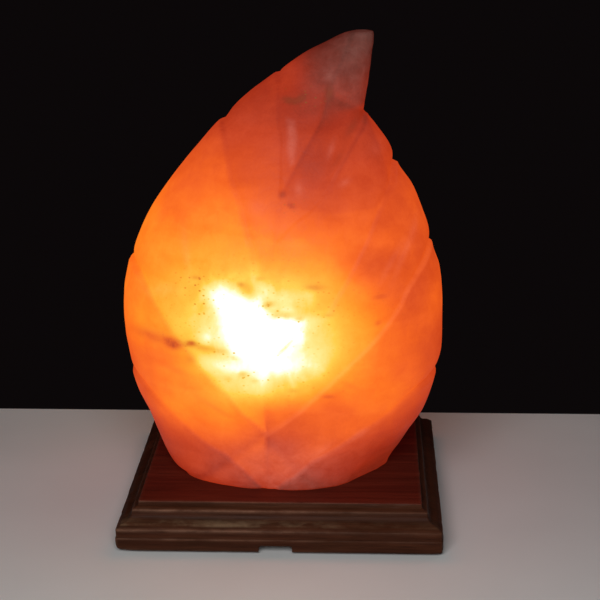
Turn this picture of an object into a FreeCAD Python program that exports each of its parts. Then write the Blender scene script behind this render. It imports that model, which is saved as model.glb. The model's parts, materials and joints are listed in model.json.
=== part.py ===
import FreeCAD, Part
import math
import os

import Sketcher

# Leaf-shaped salt crystal lamp on a square moulded wood plinth. Millimetres, +Z up.
# The origin is the centre of the plinth's footprint, on the surface that the lamp stands on.

V = FreeCAD.Vector
doc = FreeCAD.newDocument("salt_lamp")

# ---------------------------------------------------------------- driving dimensions
DIMS = [
    ("base_side", 155.0),        # plinth, over its square slab
    ("base_thick", 21.43),       # plinth, underside to top plane
    ("top_inset", 10.6),         # slab face to the top plane's edge
    ("ledge_inset", 7.9),        # slab face to the ledge's arris
    ("ledge_rise", 18.05),       # underside to the ledge's arris
    ("slab_rise", 10.95),        # underside to the slab's upper arris
    ("line_rise", 6.45),         # underside to the fine scribed line
    ("pad_thick", 1.2),
    ("pad_rad", 7.0),
    ("pad_spread", 62.0),        # pads' centres from the middle, along X and Y
    ("bore_x", -4.0),            # axis of the bore for holder and bulb
    ("bore_rad", 25.0),
    ("cavity_top", 131.0),       # top of the bore in the salt, above the plinth's underside
    ("notch_x", -1.6),           # cord channel's middle
    ("notch_wide", 15.8),
    ("notch_deep", 3.5),
    ("screw_ring", 38.0),        # radius of the ring of fixing screws
    ("screw_shank_rad", 2.1),
    ("screw_hole_rad", 2.4),
    ("sink_rad", 5.5),
    ("sink_deep", 5.2),
    ("washer_rad", 4.9),
    ("washer_thick", 1.0),
    ("head_rad", 4.1),
    ("head_thick", 2.9),
    ("screw_reach", 39.0),       # shank below the head
    ("anchor_rad", 4.0),
    ("anchor_bore", 2.2),
    ("anchor_len", 28.0),
    ("holder_z", 14.0),          # underside of the holder's cap above the table
    ("bulb_z", 48.0),            # tip of the bulb's contact above the table
    ("wire_rad", 0.7),           # spring wire of the clip wings
    ("pivot_x", 16.2),           # wing pivot from the holder's axis
    ("pivot_z", 26.0),           # wing pivot above the cap's underside
    ("wing_len", 24.0),          # pivot to cross bar, along the wing
    ("wing_tilt", 17.9),         # degrees out from vertical, at rest in the bore
    ("leg_y", 6.9),              # half width of a wing, over wire centres
    ("thread_pitch", 2.822),     # E14 thread
    ("thread_crest", 6.92),      # bulb cap, over the crests
    ("thread_root", 6.12),       # bulb cap, at the roots
    ("shell_major", 7.0),        # holder's screw shell, at its roots
    ("shell_minor", 6.25),       # holder's screw shell, at its crests
]

sheet = doc.addObject("Spreadsheet::Sheet", "Dims")
sheet.Label = "Dims"
for row, (alias, value) in enumerate(DIMS, start=1):
    sheet.set("A%d" % row, alias)
    sheet.set("B%d" % row, repr(value))
    sheet.setAlias("B%d" % row, alias)
doc.recompute()


class Q:
    """A length that carries both its value and the sheet expression it comes from."""

    def __init__(self, value, text=None):
        self.v = float(value)
        self.s = text if text is not None else "%.6g" % float(value)
        self.bound = text is not None

    def _mix(self, other, sign, value):
        other = other if isinstance(other, Q) else Q(other)
        q = Q(value(self.v, other.v), "(%s %s %s)" % (self.s, sign, other.s))
        q.bound = self.bound or other.bound
        return q

    def __add__(self, o):
        return self._mix(o, "+", lambda a, b: a + b)

    def __sub__(self, o):
        return self._mix(o, "-", lambda a, b: a - b)

    def __mul__(self, o):
        return self._mix(o, "*", lambda a, b: a * b)

    def __truediv__(self, o):
        return self._mix(o, "/", lambda a, b: a / b)

    def __neg__(self):
        return Q(0)._mix(self, "-", lambda a, b: a - b)

    def __radd__(self, o):
        return Q(o) + self

    def __rsub__(self, o):
        return Q(o) - self

    def __rmul__(self, o):
        return Q(o) * self


D = {alias: Q(getattr(sheet, alias), "Dims." + alias) for alias, _ in DIMS}


def q(x):
    return x if isinstance(x, Q) else Q(x)


def bind(obj, prop, value):
    """Sets a property from a length, and binds it to the sheet if it came from there."""
    value = q(value)
    if value.bound:
        obj.setExpression(prop, value.s)
    else:
        setattr(obj, prop, value.v)


def place(obj, x=0, y=0, z=0, rotation=None):
    if rotation is not None:
        obj.Placement = FreeCAD.Placement(V(q(x).v, q(y).v, q(z).v), rotation)
    else:
        obj.Placement = FreeCAD.Placement(V(q(x).v, q(y).v, q(z).v), FreeCAD.Rotation())
    for axis, value in (("x", q(x)), ("y", q(y)), ("z", q(z))):
        if value.bound:
            obj.setExpression("Placement.Base." + axis, value.s)


# ---------------------------------------------------------------- sketch helpers
def new_body(label):
    body = doc.addObject("PartDesign::Body", label)
    body.Label = label
    return body


def role(body, name):
    return [o for o in body.Origin.OriginFeatures if o.Role == name][0]


def new_sketch(body, name, plane, shift=0.0, shift_x=0.0):
    sk = body.newObject("Sketcher::SketchObject", name)
    sk.AttachmentSupport = [(role(body, plane), "")]
    sk.MapMode = "FlatFace"
    shift, shift_x = q(shift), q(shift_x)
    sk.AttachmentOffset = FreeCAD.Placement(V(shift_x.v, 0, shift.v), FreeCAD.Rotation())
    if shift.bound:
        sk.setExpression("AttachmentOffset.Base.z", shift.s)
    if shift_x.bound:
        sk.setExpression("AttachmentOffset.Base.x", shift_x.s)
    return sk


def pin_point(sk, geo, pos, x, y):
    """Holds a sketch point at (x, y), by expressions where the lengths come from the sheet."""
    for kind, value, axis in (("DistanceX", q(x), -2), ("DistanceY", q(y), -1)):
        if abs(value.v) < 1e-9:
            sk.addConstraint(Sketcher.Constraint("PointOnObject", geo, pos, axis))
            continue
        if value.v > 0:
            index = sk.addConstraint(Sketcher.Constraint(kind, -1, 1, geo, pos, value.v))
            text = value.s
        else:
            index = sk.addConstraint(Sketcher.Constraint(kind, geo, pos, -1, 1, -value.v))
            text = "0 - %s" % value.s
        if value.bound:
            sk.setExpression("Constraints[%d]" % index, text)


def loop(sk, points):
    """Closed outline. Each entry is (x, y) for a line to that point, or (x, y, r, side) for an
    arc of radius r to it, whose centre is left (+1) or right (-1) of the way it runs."""
    n = len(points)
    starts, ends, geos = [], [], []
    for i in range(n):
        x0, y0 = q(points[i - 1][0]).v, q(points[i - 1][1]).v
        x1, y1 = q(points[i][0]).v, q(points[i][1]).v
        if len(points[i]) == 2:
            g = sk.addGeometry(Part.LineSegment(V(x0, y0, 0), V(x1, y1, 0)), False)
            s, e = 1, 2
        else:
            r, side = q(points[i][2]).v, points[i][3]
            dx, dy = x1 - x0, y1 - y0
            half = math.hypot(dx, dy) / 2
            rise = math.sqrt(max(r * r - half * half, 0.0))
            nx, ny = -dy / (2 * half), dx / (2 * half)
            cx = (x0 + x1) / 2 + side * rise * nx
            cy = (y0 + y1) / 2 + side * rise * ny
            a0, a1 = math.atan2(y0 - cy, x0 - cx), math.atan2(y1 - cy, x1 - cx)
            s, e = (1, 2) if side > 0 else (2, 1)
            if side < 0:
                a0, a1 = a1, a0
            if a1 < a0:
                a1 += 2 * math.pi
            g = sk.addGeometry(Part.ArcOfCircle(Part.Circle(V(cx, cy, 0), V(0, 0, 1), r), a0, a1), False)
        geos.append(g)
        starts.append(s)
        ends.append(e)
    for i in range(n):
        j = (i + 1) % n
        sk.addConstraint(Sketcher.Constraint("Coincident", geos[i], ends[i], geos[j], starts[j]))
    for i in range(n):
        pin_point(sk, geos[i], ends[i], points[i][0], points[i][1])
        if len(points[i]) == 4:
            r = q(points[i][2])
            index = sk.addConstraint(Sketcher.Constraint("Radius", geos[i], r.v))
            if r.bound:
                sk.setExpression("Constraints[%d]" % index, r.s)


def circle(sk, x, y, r):
    x, y, r = q(x), q(y), q(r)
    g = sk.addGeometry(Part.Circle(V(x.v, y.v, 0), V(0, 0, 1), r.v), False)
    pin_point(sk, g, 3, x, y)
    index = sk.addConstraint(Sketcher.Constraint("Radius", g, r.v))
    if r.bound:
        sk.setExpression("Constraints[%d]" % index, r.s)
    return g


def ellipse(sk, x, half_x, half_y):
    """Ellipse with its long axis along the sketch's X."""
    sk.addGeometry(Part.Ellipse(V(x + half_x, 0, 0), V(x, half_y, 0), V(x, 0, 0)), False)
    sk.addConstraint(Sketcher.Constraint("Block", 0))


def feature(body, kind, name, sketch):
    f = body.newObject(kind, name)
    f.Profile = sketch
    sketch.Visibility = False
    return f


def pad(body, name, sketch, length, midplane=False, reverse=False):
    f = feature(body, "PartDesign::Pad", name, sketch)
    bind(f, "Length", length)
    if midplane:
        f.Midplane = True
    if reverse:
        f.Reversed = True
    body.Tip = f
    doc.recompute()
    return f


def pocket(body, name, sketch, length, midplane=False, reverse=False):
    before = body.Shape.Volume
    f = feature(body, "PartDesign::Pocket", name, sketch)
    bind(f, "Length", length)
    if midplane:
        f.Midplane = True
    if reverse:
        f.Reversed = True
    body.Tip = f
    doc.recompute()
    if not body.Shape.Volume < before - 1e-3:
        raise RuntimeError("pocket %s of %s cuts nothing" % (name, body.Label))
    return f


def revolve(label, outline, x=0, y=0, z=0):
    """A turned piece: its half section is in the XZ plane, turned about Z."""
    body = new_body(label)
    sk = new_sketch(body, label + "_section", "XZ_Plane")
    loop(sk, outline)
    f = feature(body, "PartDesign::Revolution", label + "_turned", sk)
    f.ReferenceAxis = (sk, ["V_Axis"])
    f.Angle = 360
    body.Tip = f
    place(body, x, y, z)
    doc.recompute()
    return body


def polar(body, name, originals, count):
    f = body.newObject("PartDesign::PolarPattern", name)
    f.Originals = originals
    f.Axis = (role(body, "Z_Axis"), [""])
    f.Angle = 360
    f.Occurrences = count
    body.Tip = f
    doc.recompute()
    return f


SUBPARTS = []


def keep(obj):
    SUBPARTS.append(obj)
    return obj


# ---------------------------------------------------------------- wood plinth
# One board with a routed edge. From the underside up: a plain face, a fine scribed line, a flat
# band, a shallow ovolo, a cove, a sloped ledge and an upright quirk below the top plane.
def moulding(half, side):
    """The edge's section from the underside up, at half the plinth's width. side is +1 or -1."""

    def p(inset, up, *arc):
        x = (half - inset) if side > 0 else (inset - half)
        return (x, up) + tuple(arc)

    s = side
    return [
        p(1.4, 0.0),
        p(0.0, 1.4, 1.4, s),
        p(0.0, D["line_rise"]),
        p(0.35, D["line_rise"] + 0.3),
        p(0.35, D["slab_rise"] - 0.5),
        p(0.85, D["slab_rise"], 0.5, s),
        p(4.6, 13.0, 8.0, s),
        p(7.25, 15.8, 4.2, -s),
        p(D["ledge_inset"] - 0.3, D["ledge_rise"] - 0.35),
        p(D["ledge_inset"], D["ledge_rise"], 0.4, s),
        p(D["top_inset"] - 0.5, 19.25),
        p(D["top_inset"] - 0.35, D["base_thick"] - 0.35),
        p(D["top_inset"], D["base_thick"], 0.36, s),
    ]


plinth = new_body("wood_plinth")
half = D["base_side"] / 2
sk = new_sketch(plinth, "front_section", "XZ_Plane")
right = moulding(half, 1)
left = moulding(half, -1)
# the left side is run downwards, so each arc is given to the point it ends at
left_down = []
for i in range(len(left) - 1, -1, -1):
    if i == len(left) - 1:
        left_down.append(left[i][:2])
    else:
        nxt = left[i + 1]
        left_down.append(left[i][:2] + ((nxt[2], -nxt[3]) if len(nxt) == 4 else ()))
loop(sk, right + left_down)
pad(plinth, "board", sk, D["base_side"], midplane=True)

sk = new_sketch(plinth, "side_section", "YZ_Plane")
for s in (1, -1):
    edge = moulding(half, s)
    out = (half + 4) if s > 0 else (-half - 4)
    loop(sk, edge + [
        (edge[-1][0], D["base_thick"] + 4),
        (out, D["base_thick"] + 4),
        (out, -4.0),
        (edge[0][0], -4.0),
    ])
f = pocket(plinth, "side_moulding", sk, D["base_side"] + 20, midplane=True)

sk = new_sketch(plinth, "bore_outline", "XY_Plane")
circle(sk, D["bore_x"], 0, D["bore_rad"])
pocket(plinth, "holder_bore", sk, D["base_thick"] + 5, reverse=True)

# cord channel, routed across the underside from the front edge to the back edge
sk = new_sketch(plinth, "channel_section", "XZ_Plane")
cl = D["notch_x"] - D["notch_wide"] / 2
cr = D["notch_x"] + D["notch_wide"] / 2
cd = D["notch_deep"]
loop(sk, [(cl, -3.0), (cr, -3.0), (cr, cd - 1.3), (cr - 1.3, cd, 1.3, 1), (cl + 1.3, cd), (cl, cd - 1.3, 1.3, 1)])
pocket(plinth, "cord_channel", sk, D["base_side"] + 20, midplane=True)

# three fixing screw holes, counterbored from below
sk = new_sketch(plinth, "sink_outline", "XY_Plane")
circle(sk, D["screw_ring"], 0, D["sink_rad"])
p1 = pocket(plinth, "sink", sk, D["sink_deep"], reverse=True)
sk = new_sketch(plinth, "hole_outline", "XY_Plane")
circle(sk, D["screw_ring"], 0, D["screw_hole_rad"])
p2 = pocket(plinth, "hole", sk, D["base_thick"] + 5, reverse=True)
before = plinth.Shape.Volume
polar(plinth, "screw_holes", [p1, p2], 3)
if not plinth.Shape.Volume < before - 100:
    raise RuntimeError("the screw hole pattern cuts nothing")
place(plinth, 0, 0, D["pad_thick"])
keep(plinth)

# ---------------------------------------------------------------- salt leaf
# A carved block, oval in every level section, widest at mid height and leaning to the right at
# the tip. Levels are above the plinth's underside: (level, left, right, half depth).
LEVELS = [
    (21.43, -53.5, 53.5, 53.0),
    (32.0, -62.0, 58.8, 56.5),
    (45.0, -67.8, 67.0, 59.5),
    (60.0, -73.7, 73.2, 61.5),
    (80.0, -78.2, 77.4, 62.0),
    (100.0, -80.1, 77.9, 60.5),
    (120.0, -77.8, 76.0, 57.0),
    (140.0, -70.4, 70.9, 51.5),
    (160.0, -58.9, 62.4, 44.5),
    (178.0, -44.4, 52.4, 36.8),
    (192.0, -31.4, 43.4, 30.2),
    (204.0, -18.8, 39.9, 24.0),
    (214.0, -5.4, 40.3, 18.6),
    (222.0, 7.2, 41.2, 14.2),
    (229.0, 19.4, 41.9, 9.6),
    (235.3, 32.2, 42.0, 4.7),
]
leaf = new_body("salt_leaf")


def stack(name, levels):
    sections = []
    for i, (z, a, b, d) in enumerate(levels):
        s = new_sketch(leaf, "%s_level_%d" % (name, i), "XY_Plane", z)
        ellipse(s, (a + b) / 2, (b - a) / 2, d)
        sections.append(s)
    f = leaf.newObject("PartDesign::AdditiveLoft", name)
    f.Profile = sections[0]
    f.Sections = sections[1:]
    f.Ruled = False
    f.Closed = False
    for s in sections:
        s.Visibility = False
    leaf.Tip = f
    doc.recompute()
    return f


stack("leaf_block", LEVELS)

# notches where the carved veins run out over the rim: (x, level, side)
NOTCHES = [
    (-75.0, 125.2, -1), (-77.6, 69.6, -1), (-29.2, 195.0, -1),
    (71.2, 133.5, 1), (76.2, 68.0, 1), (53.3, 173.6, 1), (40.4, 199.5, 1), (-2.4, 216.5, -1),
]
sk = new_sketch(leaf, "rim_notches", "XZ_Plane")
for x, z, s in NOTCHES:
    reach = 12.0
    loop(sk, [(x - s * 2.2, z - 1.0), (x + s * reach, z - 3.2 - (2.0 if z > 150 else 0.0)), (x + s * reach, z + 6.0)]
         if s > 0 else
         [(x - s * 2.2, z - 1.0), (x + s * reach, z + 6.0), (x + s * reach, z - 3.2 - (2.0 if z > 150 else 0.0))])
pocket(leaf, "vein_notches", sk, 200.0, midplane=True)

# bore for the bulb, with a domed end as the core bit leaves it
sk = new_sketch(leaf, "bulb_bore_section", "XZ_Plane", 0.0, D["bore_x"])
r = D["bore_rad"]
top = D["cavity_top"]
loop(sk, [(0.0, 10.0), (r, 10.0), (r, top - 12.0), (r - 12.0, top, 12.0, 1), (0.0, top)])
before = leaf.Shape.Volume
f = feature(leaf, "PartDesign::Groove", "bulb_bore", sk)
f.ReferenceAxis = (sk, ["V_Axis"])
f.Angle = 360
leaf.Tip = f
doc.recompute()
if not leaf.Shape.Volume < before - 1000:
    raise RuntimeError("the bulb bore cuts nothing")

sk = new_sketch(leaf, "anchor_hole_outline", "XY_Plane", D["base_thick"])
circle(sk, D["screw_ring"], 0, D["anchor_rad"] + 0.1)
p1 = pocket(leaf, "anchor_hole", sk, D["anchor_len"] + 3, reverse=True)
before = leaf.Shape.Volume
polar(leaf, "anchor_holes", [p1], 3)
if not leaf.Shape.Volume < before - 100:
    raise RuntimeError("the anchor hole pattern cuts nothing")
place(leaf, 0, 0, D["pad_thick"])
keep(leaf)


# ---------------------------------------------------------------- fixings under the plinth
def part_sketch(label, outline):
    sk = doc.addObject("Sketcher::SketchObject", label)
    sk.Placement = FreeCAD.Placement(V(0, 0, 0), FreeCAD.Rotation(V(1, 0, 0), 90))
    loop(sk, outline)
    sk.Visibility = False
    return sk


def turned(label, sketch, x, y, z):
    f = doc.addObject("Part::Revolution", label)
    f.Source = sketch
    f.Axis = (0, 0, 1)
    f.Base = (0, 0, 0)
    f.Angle = 360
    f.Solid = True
    place(f, x, y, z)
    return f


ring = [(D["screw_ring"] * 1.0, Q(0)),
        (D["screw_ring"] * -0.5, D["screw_ring"] * (math.sqrt(3) / 2)),
        (D["screw_ring"] * -0.5, D["screw_ring"] * (-math.sqrt(3) / 2))]

sr, hr, ht, reach = D["screw_shank_rad"], D["head_rad"], D["head_thick"], D["screw_reach"]
screw_section = part_sketch("screw_section", [
    (0.0, 0.0), (hr - 1.2, 0.0), (hr, 1.2, 1.25, 1), (hr, ht), (sr, ht),
    (sr, ht + reach - 4), (0.0, ht + reach)])
washer_section = part_sketch("washer_section", [
    (sr + 0.15, 0.0), (D["washer_rad"] - 0.2, 0.0), (D["washer_rad"], 0.2), (D["washer_rad"], D["washer_thick"]),
    (sr + 0.15, D["washer_thick"])])
ar, ab, al = D["anchor_rad"], D["anchor_bore"], D["anchor_len"]
anchor_section = part_sketch("anchor_section", [
    (ab, 0.0), (ar, 0.0), (ar, 6.0), (ar - 0.5, 6.6), (ar, 7.8), (ar - 0.5, 12.6), (ar, 13.8), (ar - 0.5, 18.6),
    (ar, 19.8), (ar - 0.6, al), (ab, al)])

screw_objs, washer_objs, anchor_objs = [], [], []
head_z = D["pad_thick"] + D["sink_deep"] - D["washer_thick"] - ht
for i, (x, y) in enumerate(ring):
    body_of = turned("screw_%d" % i, screw_section, x, y, head_z)
    slots = []
    for j, (w, d) in enumerate(((4.2, 0.8), (0.8, 4.2))):
        b = doc.addObject("Part::Box", "screw_slot_%d_%d" % (i, j))
        b.Length, b.Width, b.Height = w, d, 1.7
        place(b, x - w / 2, y - d / 2, head_z - 0.2)
        slots.append(b)
    cross = doc.addObject("Part::MultiFuse", "screw_cross_%d" % i)
    cross.Shapes = slots
    cut = doc.addObject("Part::Cut", "screw_piece_%d" % i)
    cut.Base, cut.Tool = body_of, cross
    screw_objs.append(cut)
    washer_objs.append(turned("washer_%d" % i, washer_section, x, y, D["pad_thick"] + D["sink_deep"] - D["washer_thick"]))
    anchor_objs.append(turned("anchor_%d" % i, anchor_section, x, y, D["pad_thick"] + D["base_thick"] + 0.6))


def group(label, members):
    c = doc.addObject("Part::Compound", label)
    c.Label = label
    c.Links = members
    return keep(c)


group("salt_screws", screw_objs)
group("screw_washers", washer_objs)
group("salt_anchors", anchor_objs)

pads = []
pr, pt = D["pad_rad"], D["pad_thick"]
pad_section = part_sketch("pad_section", [(0.0, 0.0), (pr - 0.3, 0.0), (pr, 0.3, 0.3, 1), (pr, pt), (0.0, pt)])
for i, (sx, sy) in enumerate(((1, 1), (-1, 1), (-1, -1), (1, -1))):
    pads.append(turned("pad_%d" % i, pad_section, D["pad_spread"] * sx, D["pad_spread"] * sy, 0))
group("foot_pads", pads)

# ---------------------------------------------------------------- lamp holder
# A small screw-base holder that pushes up the bore from below and is held by two sprung wings.
bx, hz = D["bore_x"], D["holder_z"]

cap = revolve("holder_cap", [
    (4.6, 0.5), (5.1, 0.0), (6.5, 0.0), (7.0, 0.5, 0.5, 1), (7.0, 4.4), (9.0, 7.6, 5.0, -1), (12.9, 12.4, 7.0, 1),
    (12.9, 16.95), (11.35, 16.95), (11.35, 21.3), (11.05, 21.6), (9.9, 21.6), (9.9, 12.6), (5.9, 6.2), (4.6, 6.2)],
    bx, 0, hz)
sk = new_sketch(cap, "grip_rib", "XY_Plane", 12.6)
circle(sk, 12.75, 0, 0.7)
rib = pad(cap, "rib", sk, 3.8)
polar(cap, "grip_ribs", [rib], 16)
keep(cap)

housing = revolve("holder_housing", [
    (11.5, 17.05), (13.5, 17.05), (13.5, 21.4), (13.5, 30.8), (13.5, 33.0), (13.2, 33.3), (13.2, 34.1), (13.5, 34.4),
    (13.5, 47.6), (13.2, 47.9), (13.2, 48.7), (13.5, 49.0), (13.5, 51.1), (12.1, 52.5, 1.4, 1), (9.1, 52.5),
    (8.7, 52.1, 0.4, 1), (8.7, 50.2), (11.5, 50.2)],
    bx, 0, hz)
keep(housing)

insert = revolve("holder_insert", [
    (0.0, 21.8), (11.35, 21.8), (11.35, 31.0), (9.0, 31.0), (9.0, 33.6), (7.7, 33.6), (7.7, 31.0), (0.0, 31.0)],
    bx, 0, hz)
sk = new_sketch(insert, "terminal_pockets", "XY_Plane", 21.8)
for s in (1, -1):
    x0, x1 = (3.0, 9.4) if s > 0 else (-9.4, -3.0)
    loop(sk, [(x1, -3.8), (x1, 3.8), (x0, 3.8), (x0, -3.8)])
pocket(insert, "pockets", sk, 6.4, reverse=True)
sk = new_sketch(insert, "tail_slots", "XY_Plane", 31.0)
for s in (1, -1):
    x0, x1 = (3.05, 3.75) if s > 0 else (-3.75, -3.05)
    loop(sk, [(x1, -2.3), (x1, 2.3), (x0, 2.3), (x0, -2.3)])
pocket(insert, "slots", sk, 4.0)
sk = new_sketch(insert, "driver_holes", "YZ_Plane", 0.0)
circle(sk, 0, 25.0, 2.35)
pocket(insert, "drivers", sk, 30.0, midplane=True)
keep(insert)

shell = revolve("holder_screw_shell", [
    (5.3, 34.0), (7.0, 34.0), (7.4, 34.4, 0.4, 1), (7.4, 49.6), (D["shell_major"], 49.6), (D["shell_major"], 34.4), (5.3, 34.4)],
    bx, 0, hz)
sk = new_sketch(shell, "inner_thread", "XZ_Plane")
zc = 34.0 + 5.9 + 2.822 / 2 - 2.822
loop(sk, [(7.2, zc - 0.62), (7.2, zc + 0.62), (D["shell_minor"], zc + 0.28), (D["shell_minor"], zc - 0.28)])
f = feature(shell, "PartDesign::AdditiveHelix", "inner_thread_turns", sk)
f.ReferenceAxis = (sk, ["V_Axis"])
f.Mode = 0
bind(f, "Pitch", D["thread_pitch"])
f.Height = 2.822 * 3.5
f.LeftHanded = False
shell.Tip = f
doc.recompute()
keep(shell)


# contact springs, bent from strip: a profile in the XZ plane padded along Y
def strip(label, outline, width):
    body = new_body(label)
    sk = new_sketch(body, label + "_profile", "XZ_Plane")
    loop(sk, outline)
    pad(body, label + "_strip", sk, width, midplane=True)
    place(body, bx, 0, hz)
    doc.recompute()
    return body


keep(strip("centre_contact", [
    (3.15, 23.0), (3.6, 23.0), (3.6, 31.3), (3.3, 31.6, 0.35, 1), (-1.9, 32.3), (-1.4, 33.2), (0.0, 33.7), (1.6, 33.3),
    (1.8, 33.7), (0.0, 33.95), (-1.7, 33.55), (-2.6, 32.0), (3.0, 31.15), (3.15, 31.0)], 4.0))
keep(strip("side_contact", [
    (-3.6, 23.0), (-3.15, 23.0), (-3.15, 31.4), (-5.6, 31.4), (-5.6, 33.9), (-6.9, 33.9), (-6.9, 33.5),
    (-6.0, 33.5), (-6.0, 31.05), (-3.6, 31.05)], 4.0))

# brass terminals with their clamp screws
terminals, terminal_screws = [], []
ts_section = part_sketch("terminal_screw_section", [
    (0.0, 0.0), (1.95, 0.0), (2.1, 0.15), (2.1, 1.5), (1.45, 1.5), (1.45, 5.4), (1.0, 5.8), (0.0, 5.8)])
for i, s in enumerate((1, -1)):
    block = doc.addObject("Part::Box", "terminal_block_%d" % i)
    block.Length, block.Width, block.Height = 5.4, 6.8, 6.0
    place(block, bx + (3.8 if s > 0 else -9.2), -3.4, hz + 22.0)
    wire_way = doc.addObject("Part::Cylinder", "terminal_wire_way_%d" % i)
    wire_way.Radius, wire_way.Height = 1.2, 4.5
    place(wire_way, bx + s * 5.2, 0, hz + 21.5)
    screw_way = doc.addObject("Part::Cylinder", "terminal_screw_way_%d" % i)
    screw_way.Radius, screw_way.Height = 1.5, 12.0
    place(screw_way, bx + s * 4.6, 0, hz + 25.0, FreeCAD.Rotation(V(0, 1, 0), 90 * s))
    ways = doc.addObject("Part::MultiFuse", "terminal_ways_%d" % i)
    ways.Shapes = [wire_way, screw_way]
    cut = doc.addObject("Part::Cut", "terminal_piece_%d" % i)
    cut.Base, cut.Tool = block, ways
    terminals.append(cut)
    t = doc.addObject("Part::Revolution", "terminal_screw_turned_%d" % i)
    t.Source = ts_section
    t.Axis, t.Base, t.Angle, t.Solid = (0, 0, 1), (0, 0, 0), 360, True
    place(t, bx + s * 10.9, 0, hz + 25.0, FreeCAD.Rotation(V(0, 1, 0), -90 * s))
    slot = doc.addObject("Part::Box", "terminal_screw_slot_%d" % i)
    slot.Length, slot.Width, slot.Height = 1.2, 6.0, 0.7
    place(slot, bx + (10.2 if s > 0 else -11.4), -3.0, hz + 24.65)
    cut = doc.addObject("Part::Cut", "terminal_screw_piece_%d" % i)
    cut.Base, cut.Tool = t, slot
    terminal_screws.append(cut)
group("terminal_blocks", terminals)
group("terminal_screws", terminal_screws)

# spring steel collar that clasps the housing, with two pairs of ears for the wings' pivots
collar = revolve("clip_collar", [(13.55, 21.6), (14.2, 21.6), (14.2, 30.6), (13.55, 30.6)], bx, 0, hz)
px, pz = D["pivot_x"], D["pivot_z"]
ears = []
for name, y in (("ear_front", -9.0), ("ear_back", 8.2)):
    sk = new_sketch(collar, name, "XZ_Plane", -(y + 0.8))
    for s in (1, -1):
        e = 2.1
        if s > 0:
            loop(sk, [(10.95, pz - e), (px, pz - e), (px + e, pz, e, 1), (px, pz + e, e, 1), (10.95, pz + e)])
        else:
            loop(sk, [(-10.95, pz + e), (-px, pz + e), (-px - e, pz, e, 1), (-px, pz - e, e, 1), (-10.95, pz - e)])
        circle(sk, px * s, pz, D["wire_rad"] + 0.08)
    ears.append(pad(collar, name + "_plates", sk, 0.8))
keep(collar)


# the two wings, one loop of spring wire each: pivot, two legs, cross bar
def wing(label, side):
    body = new_body(label)
    path = new_sketch(body, label + "_path", "YZ_Plane")
    ly, wl, b = D["leg_y"].v, D["wing_len"].v, 2.4
    end = 9.9
    pts = [(end, 0.0), (ly + 1.0, 0.0), (ly, -1.0), (ly, -(wl - b)), (ly - b, -wl),
           (-(ly - b), -wl), (-ly, -(wl - b)), (-ly, -1.0), (-(ly + 1.0), 0.0), (-end, 0.0)]
    arcs = {1: ((ly + 1.0, -1.0), 1.0), 3: ((ly - b, -(wl - b)), b), 5: ((-(ly - b), -(wl - b)), b), 7: ((-(ly + 1.0), -1.0), 1.0)}
    geos = []
    for i in range(len(pts) - 1):
        (x0, y0), (x1, y1) = pts[i], pts[i + 1]
        if i in arcs:
            (cx, cy), r = arcs[i]
            a0, a1 = math.atan2(y0 - cy, x0 - cx), math.atan2(y1 - cy, x1 - cx)
            ccw = (a1 - a0) % (2 * math.pi) < math.pi
            lo, hi = (a0, a1) if ccw else (a1, a0)
            if hi < lo:
                hi += 2 * math.pi
            g = path.addGeometry(Part.ArcOfCircle(Part.Circle(V(cx, cy, 0), V(0, 0, 1), r), lo, hi), False)
            geos.append((g, (1, 2) if ccw else (2, 1)))
        else:
            g = path.addGeometry(Part.LineSegment(V(x0, y0, 0), V(x1, y1, 0)), False)
            geos.append((g, (1, 2)))
    for (g0, e0), (g1, e1) in zip(geos, geos[1:]):
        path.addConstraint(Sketcher.Constraint("Coincident", g0, e0[1], g1, e1[0]))
    for g, _ in geos:
        path.addConstraint(Sketcher.Constraint("Block", g))
    ring_sk = new_sketch(body, label + "_wire", "XZ_Plane", -end)
    circle(ring_sk, 0, 0, D["wire_rad"])
    f = feature(body, "PartDesign::AdditivePipe", label + "_bent", ring_sk)
    doc.recompute()
    f.Spine = (path, ["Edge%d" % (i + 1) for i in range(len(geos))])
    path.Visibility = False
    body.Tip = f
    turn = FreeCAD.Rotation(V(0, 1, 0), -D["wing_tilt"].v)
    if side < 0:
        turn = FreeCAD.Rotation(V(0, 0, 1), 180).multiply(turn)
    place(body, bx + px * side, 0, hz + pz, turn)
    doc.recompute()
    return keep(body)


wing("clip_wing_right", 1)
wing("clip_wing_left", -1)

# ---------------------------------------------------------------- bulb
bz = D["bulb_z"]
keep(revolve("bulb_tip_contact", [(0.0, 0.0), (1.5, 0.0), (2.4, 0.9, 0.95, 1), (2.4, 1.2), (0.0, 1.2)], bx, 0, bz))
keep(revolve("bulb_cap_insulator", [
    (0.6, 1.25), (2.7, 1.25), (3.2, 1.8), (5.5, 4.4), (5.5, 5.6), (0.6, 5.6)], bx, 0, bz))

tr = D["thread_root"]
cap_shell = revolve("bulb_cap_shell", [
    (5.58, 4.4), (tr - 0.15, 4.4), (tr, 4.55, 0.15, 1), (tr, 15.7), (7.25, 17.2), (7.25, 19.8), (7.1, 20.0), (7.0, 20.0),
    (7.0, 17.35), (tr - 0.25, 15.85), (tr - 0.25, 4.7), (5.58, 4.7)], bx, 0, bz)
sk = new_sketch(cap_shell, "outer_thread", "XZ_Plane")
loop(sk, [(5.98, 5.9 - 0.72), (D["thread_crest"], 5.9 - 0.32), (D["thread_crest"], 5.9 + 0.32), (5.98, 5.9 + 0.72)])
f = feature(cap_shell, "PartDesign::AdditiveHelix", "outer_thread_turns", sk)
f.ReferenceAxis = (sk, ["V_Axis"])
f.Mode = 0
bind(f, "Pitch", D["thread_pitch"])
f.Height = 2.822 * 2.75
f.LeftHanded = False
cap_shell.Tip = f
doc.recompute()
keep(cap_shell)

keep(revolve("bulb_cap_cement", [(6.35, 17.0), (6.6, 17.0), (6.95, 17.45), (6.95, 19.6), (6.35, 19.6)], bx, 0, bz))

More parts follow.
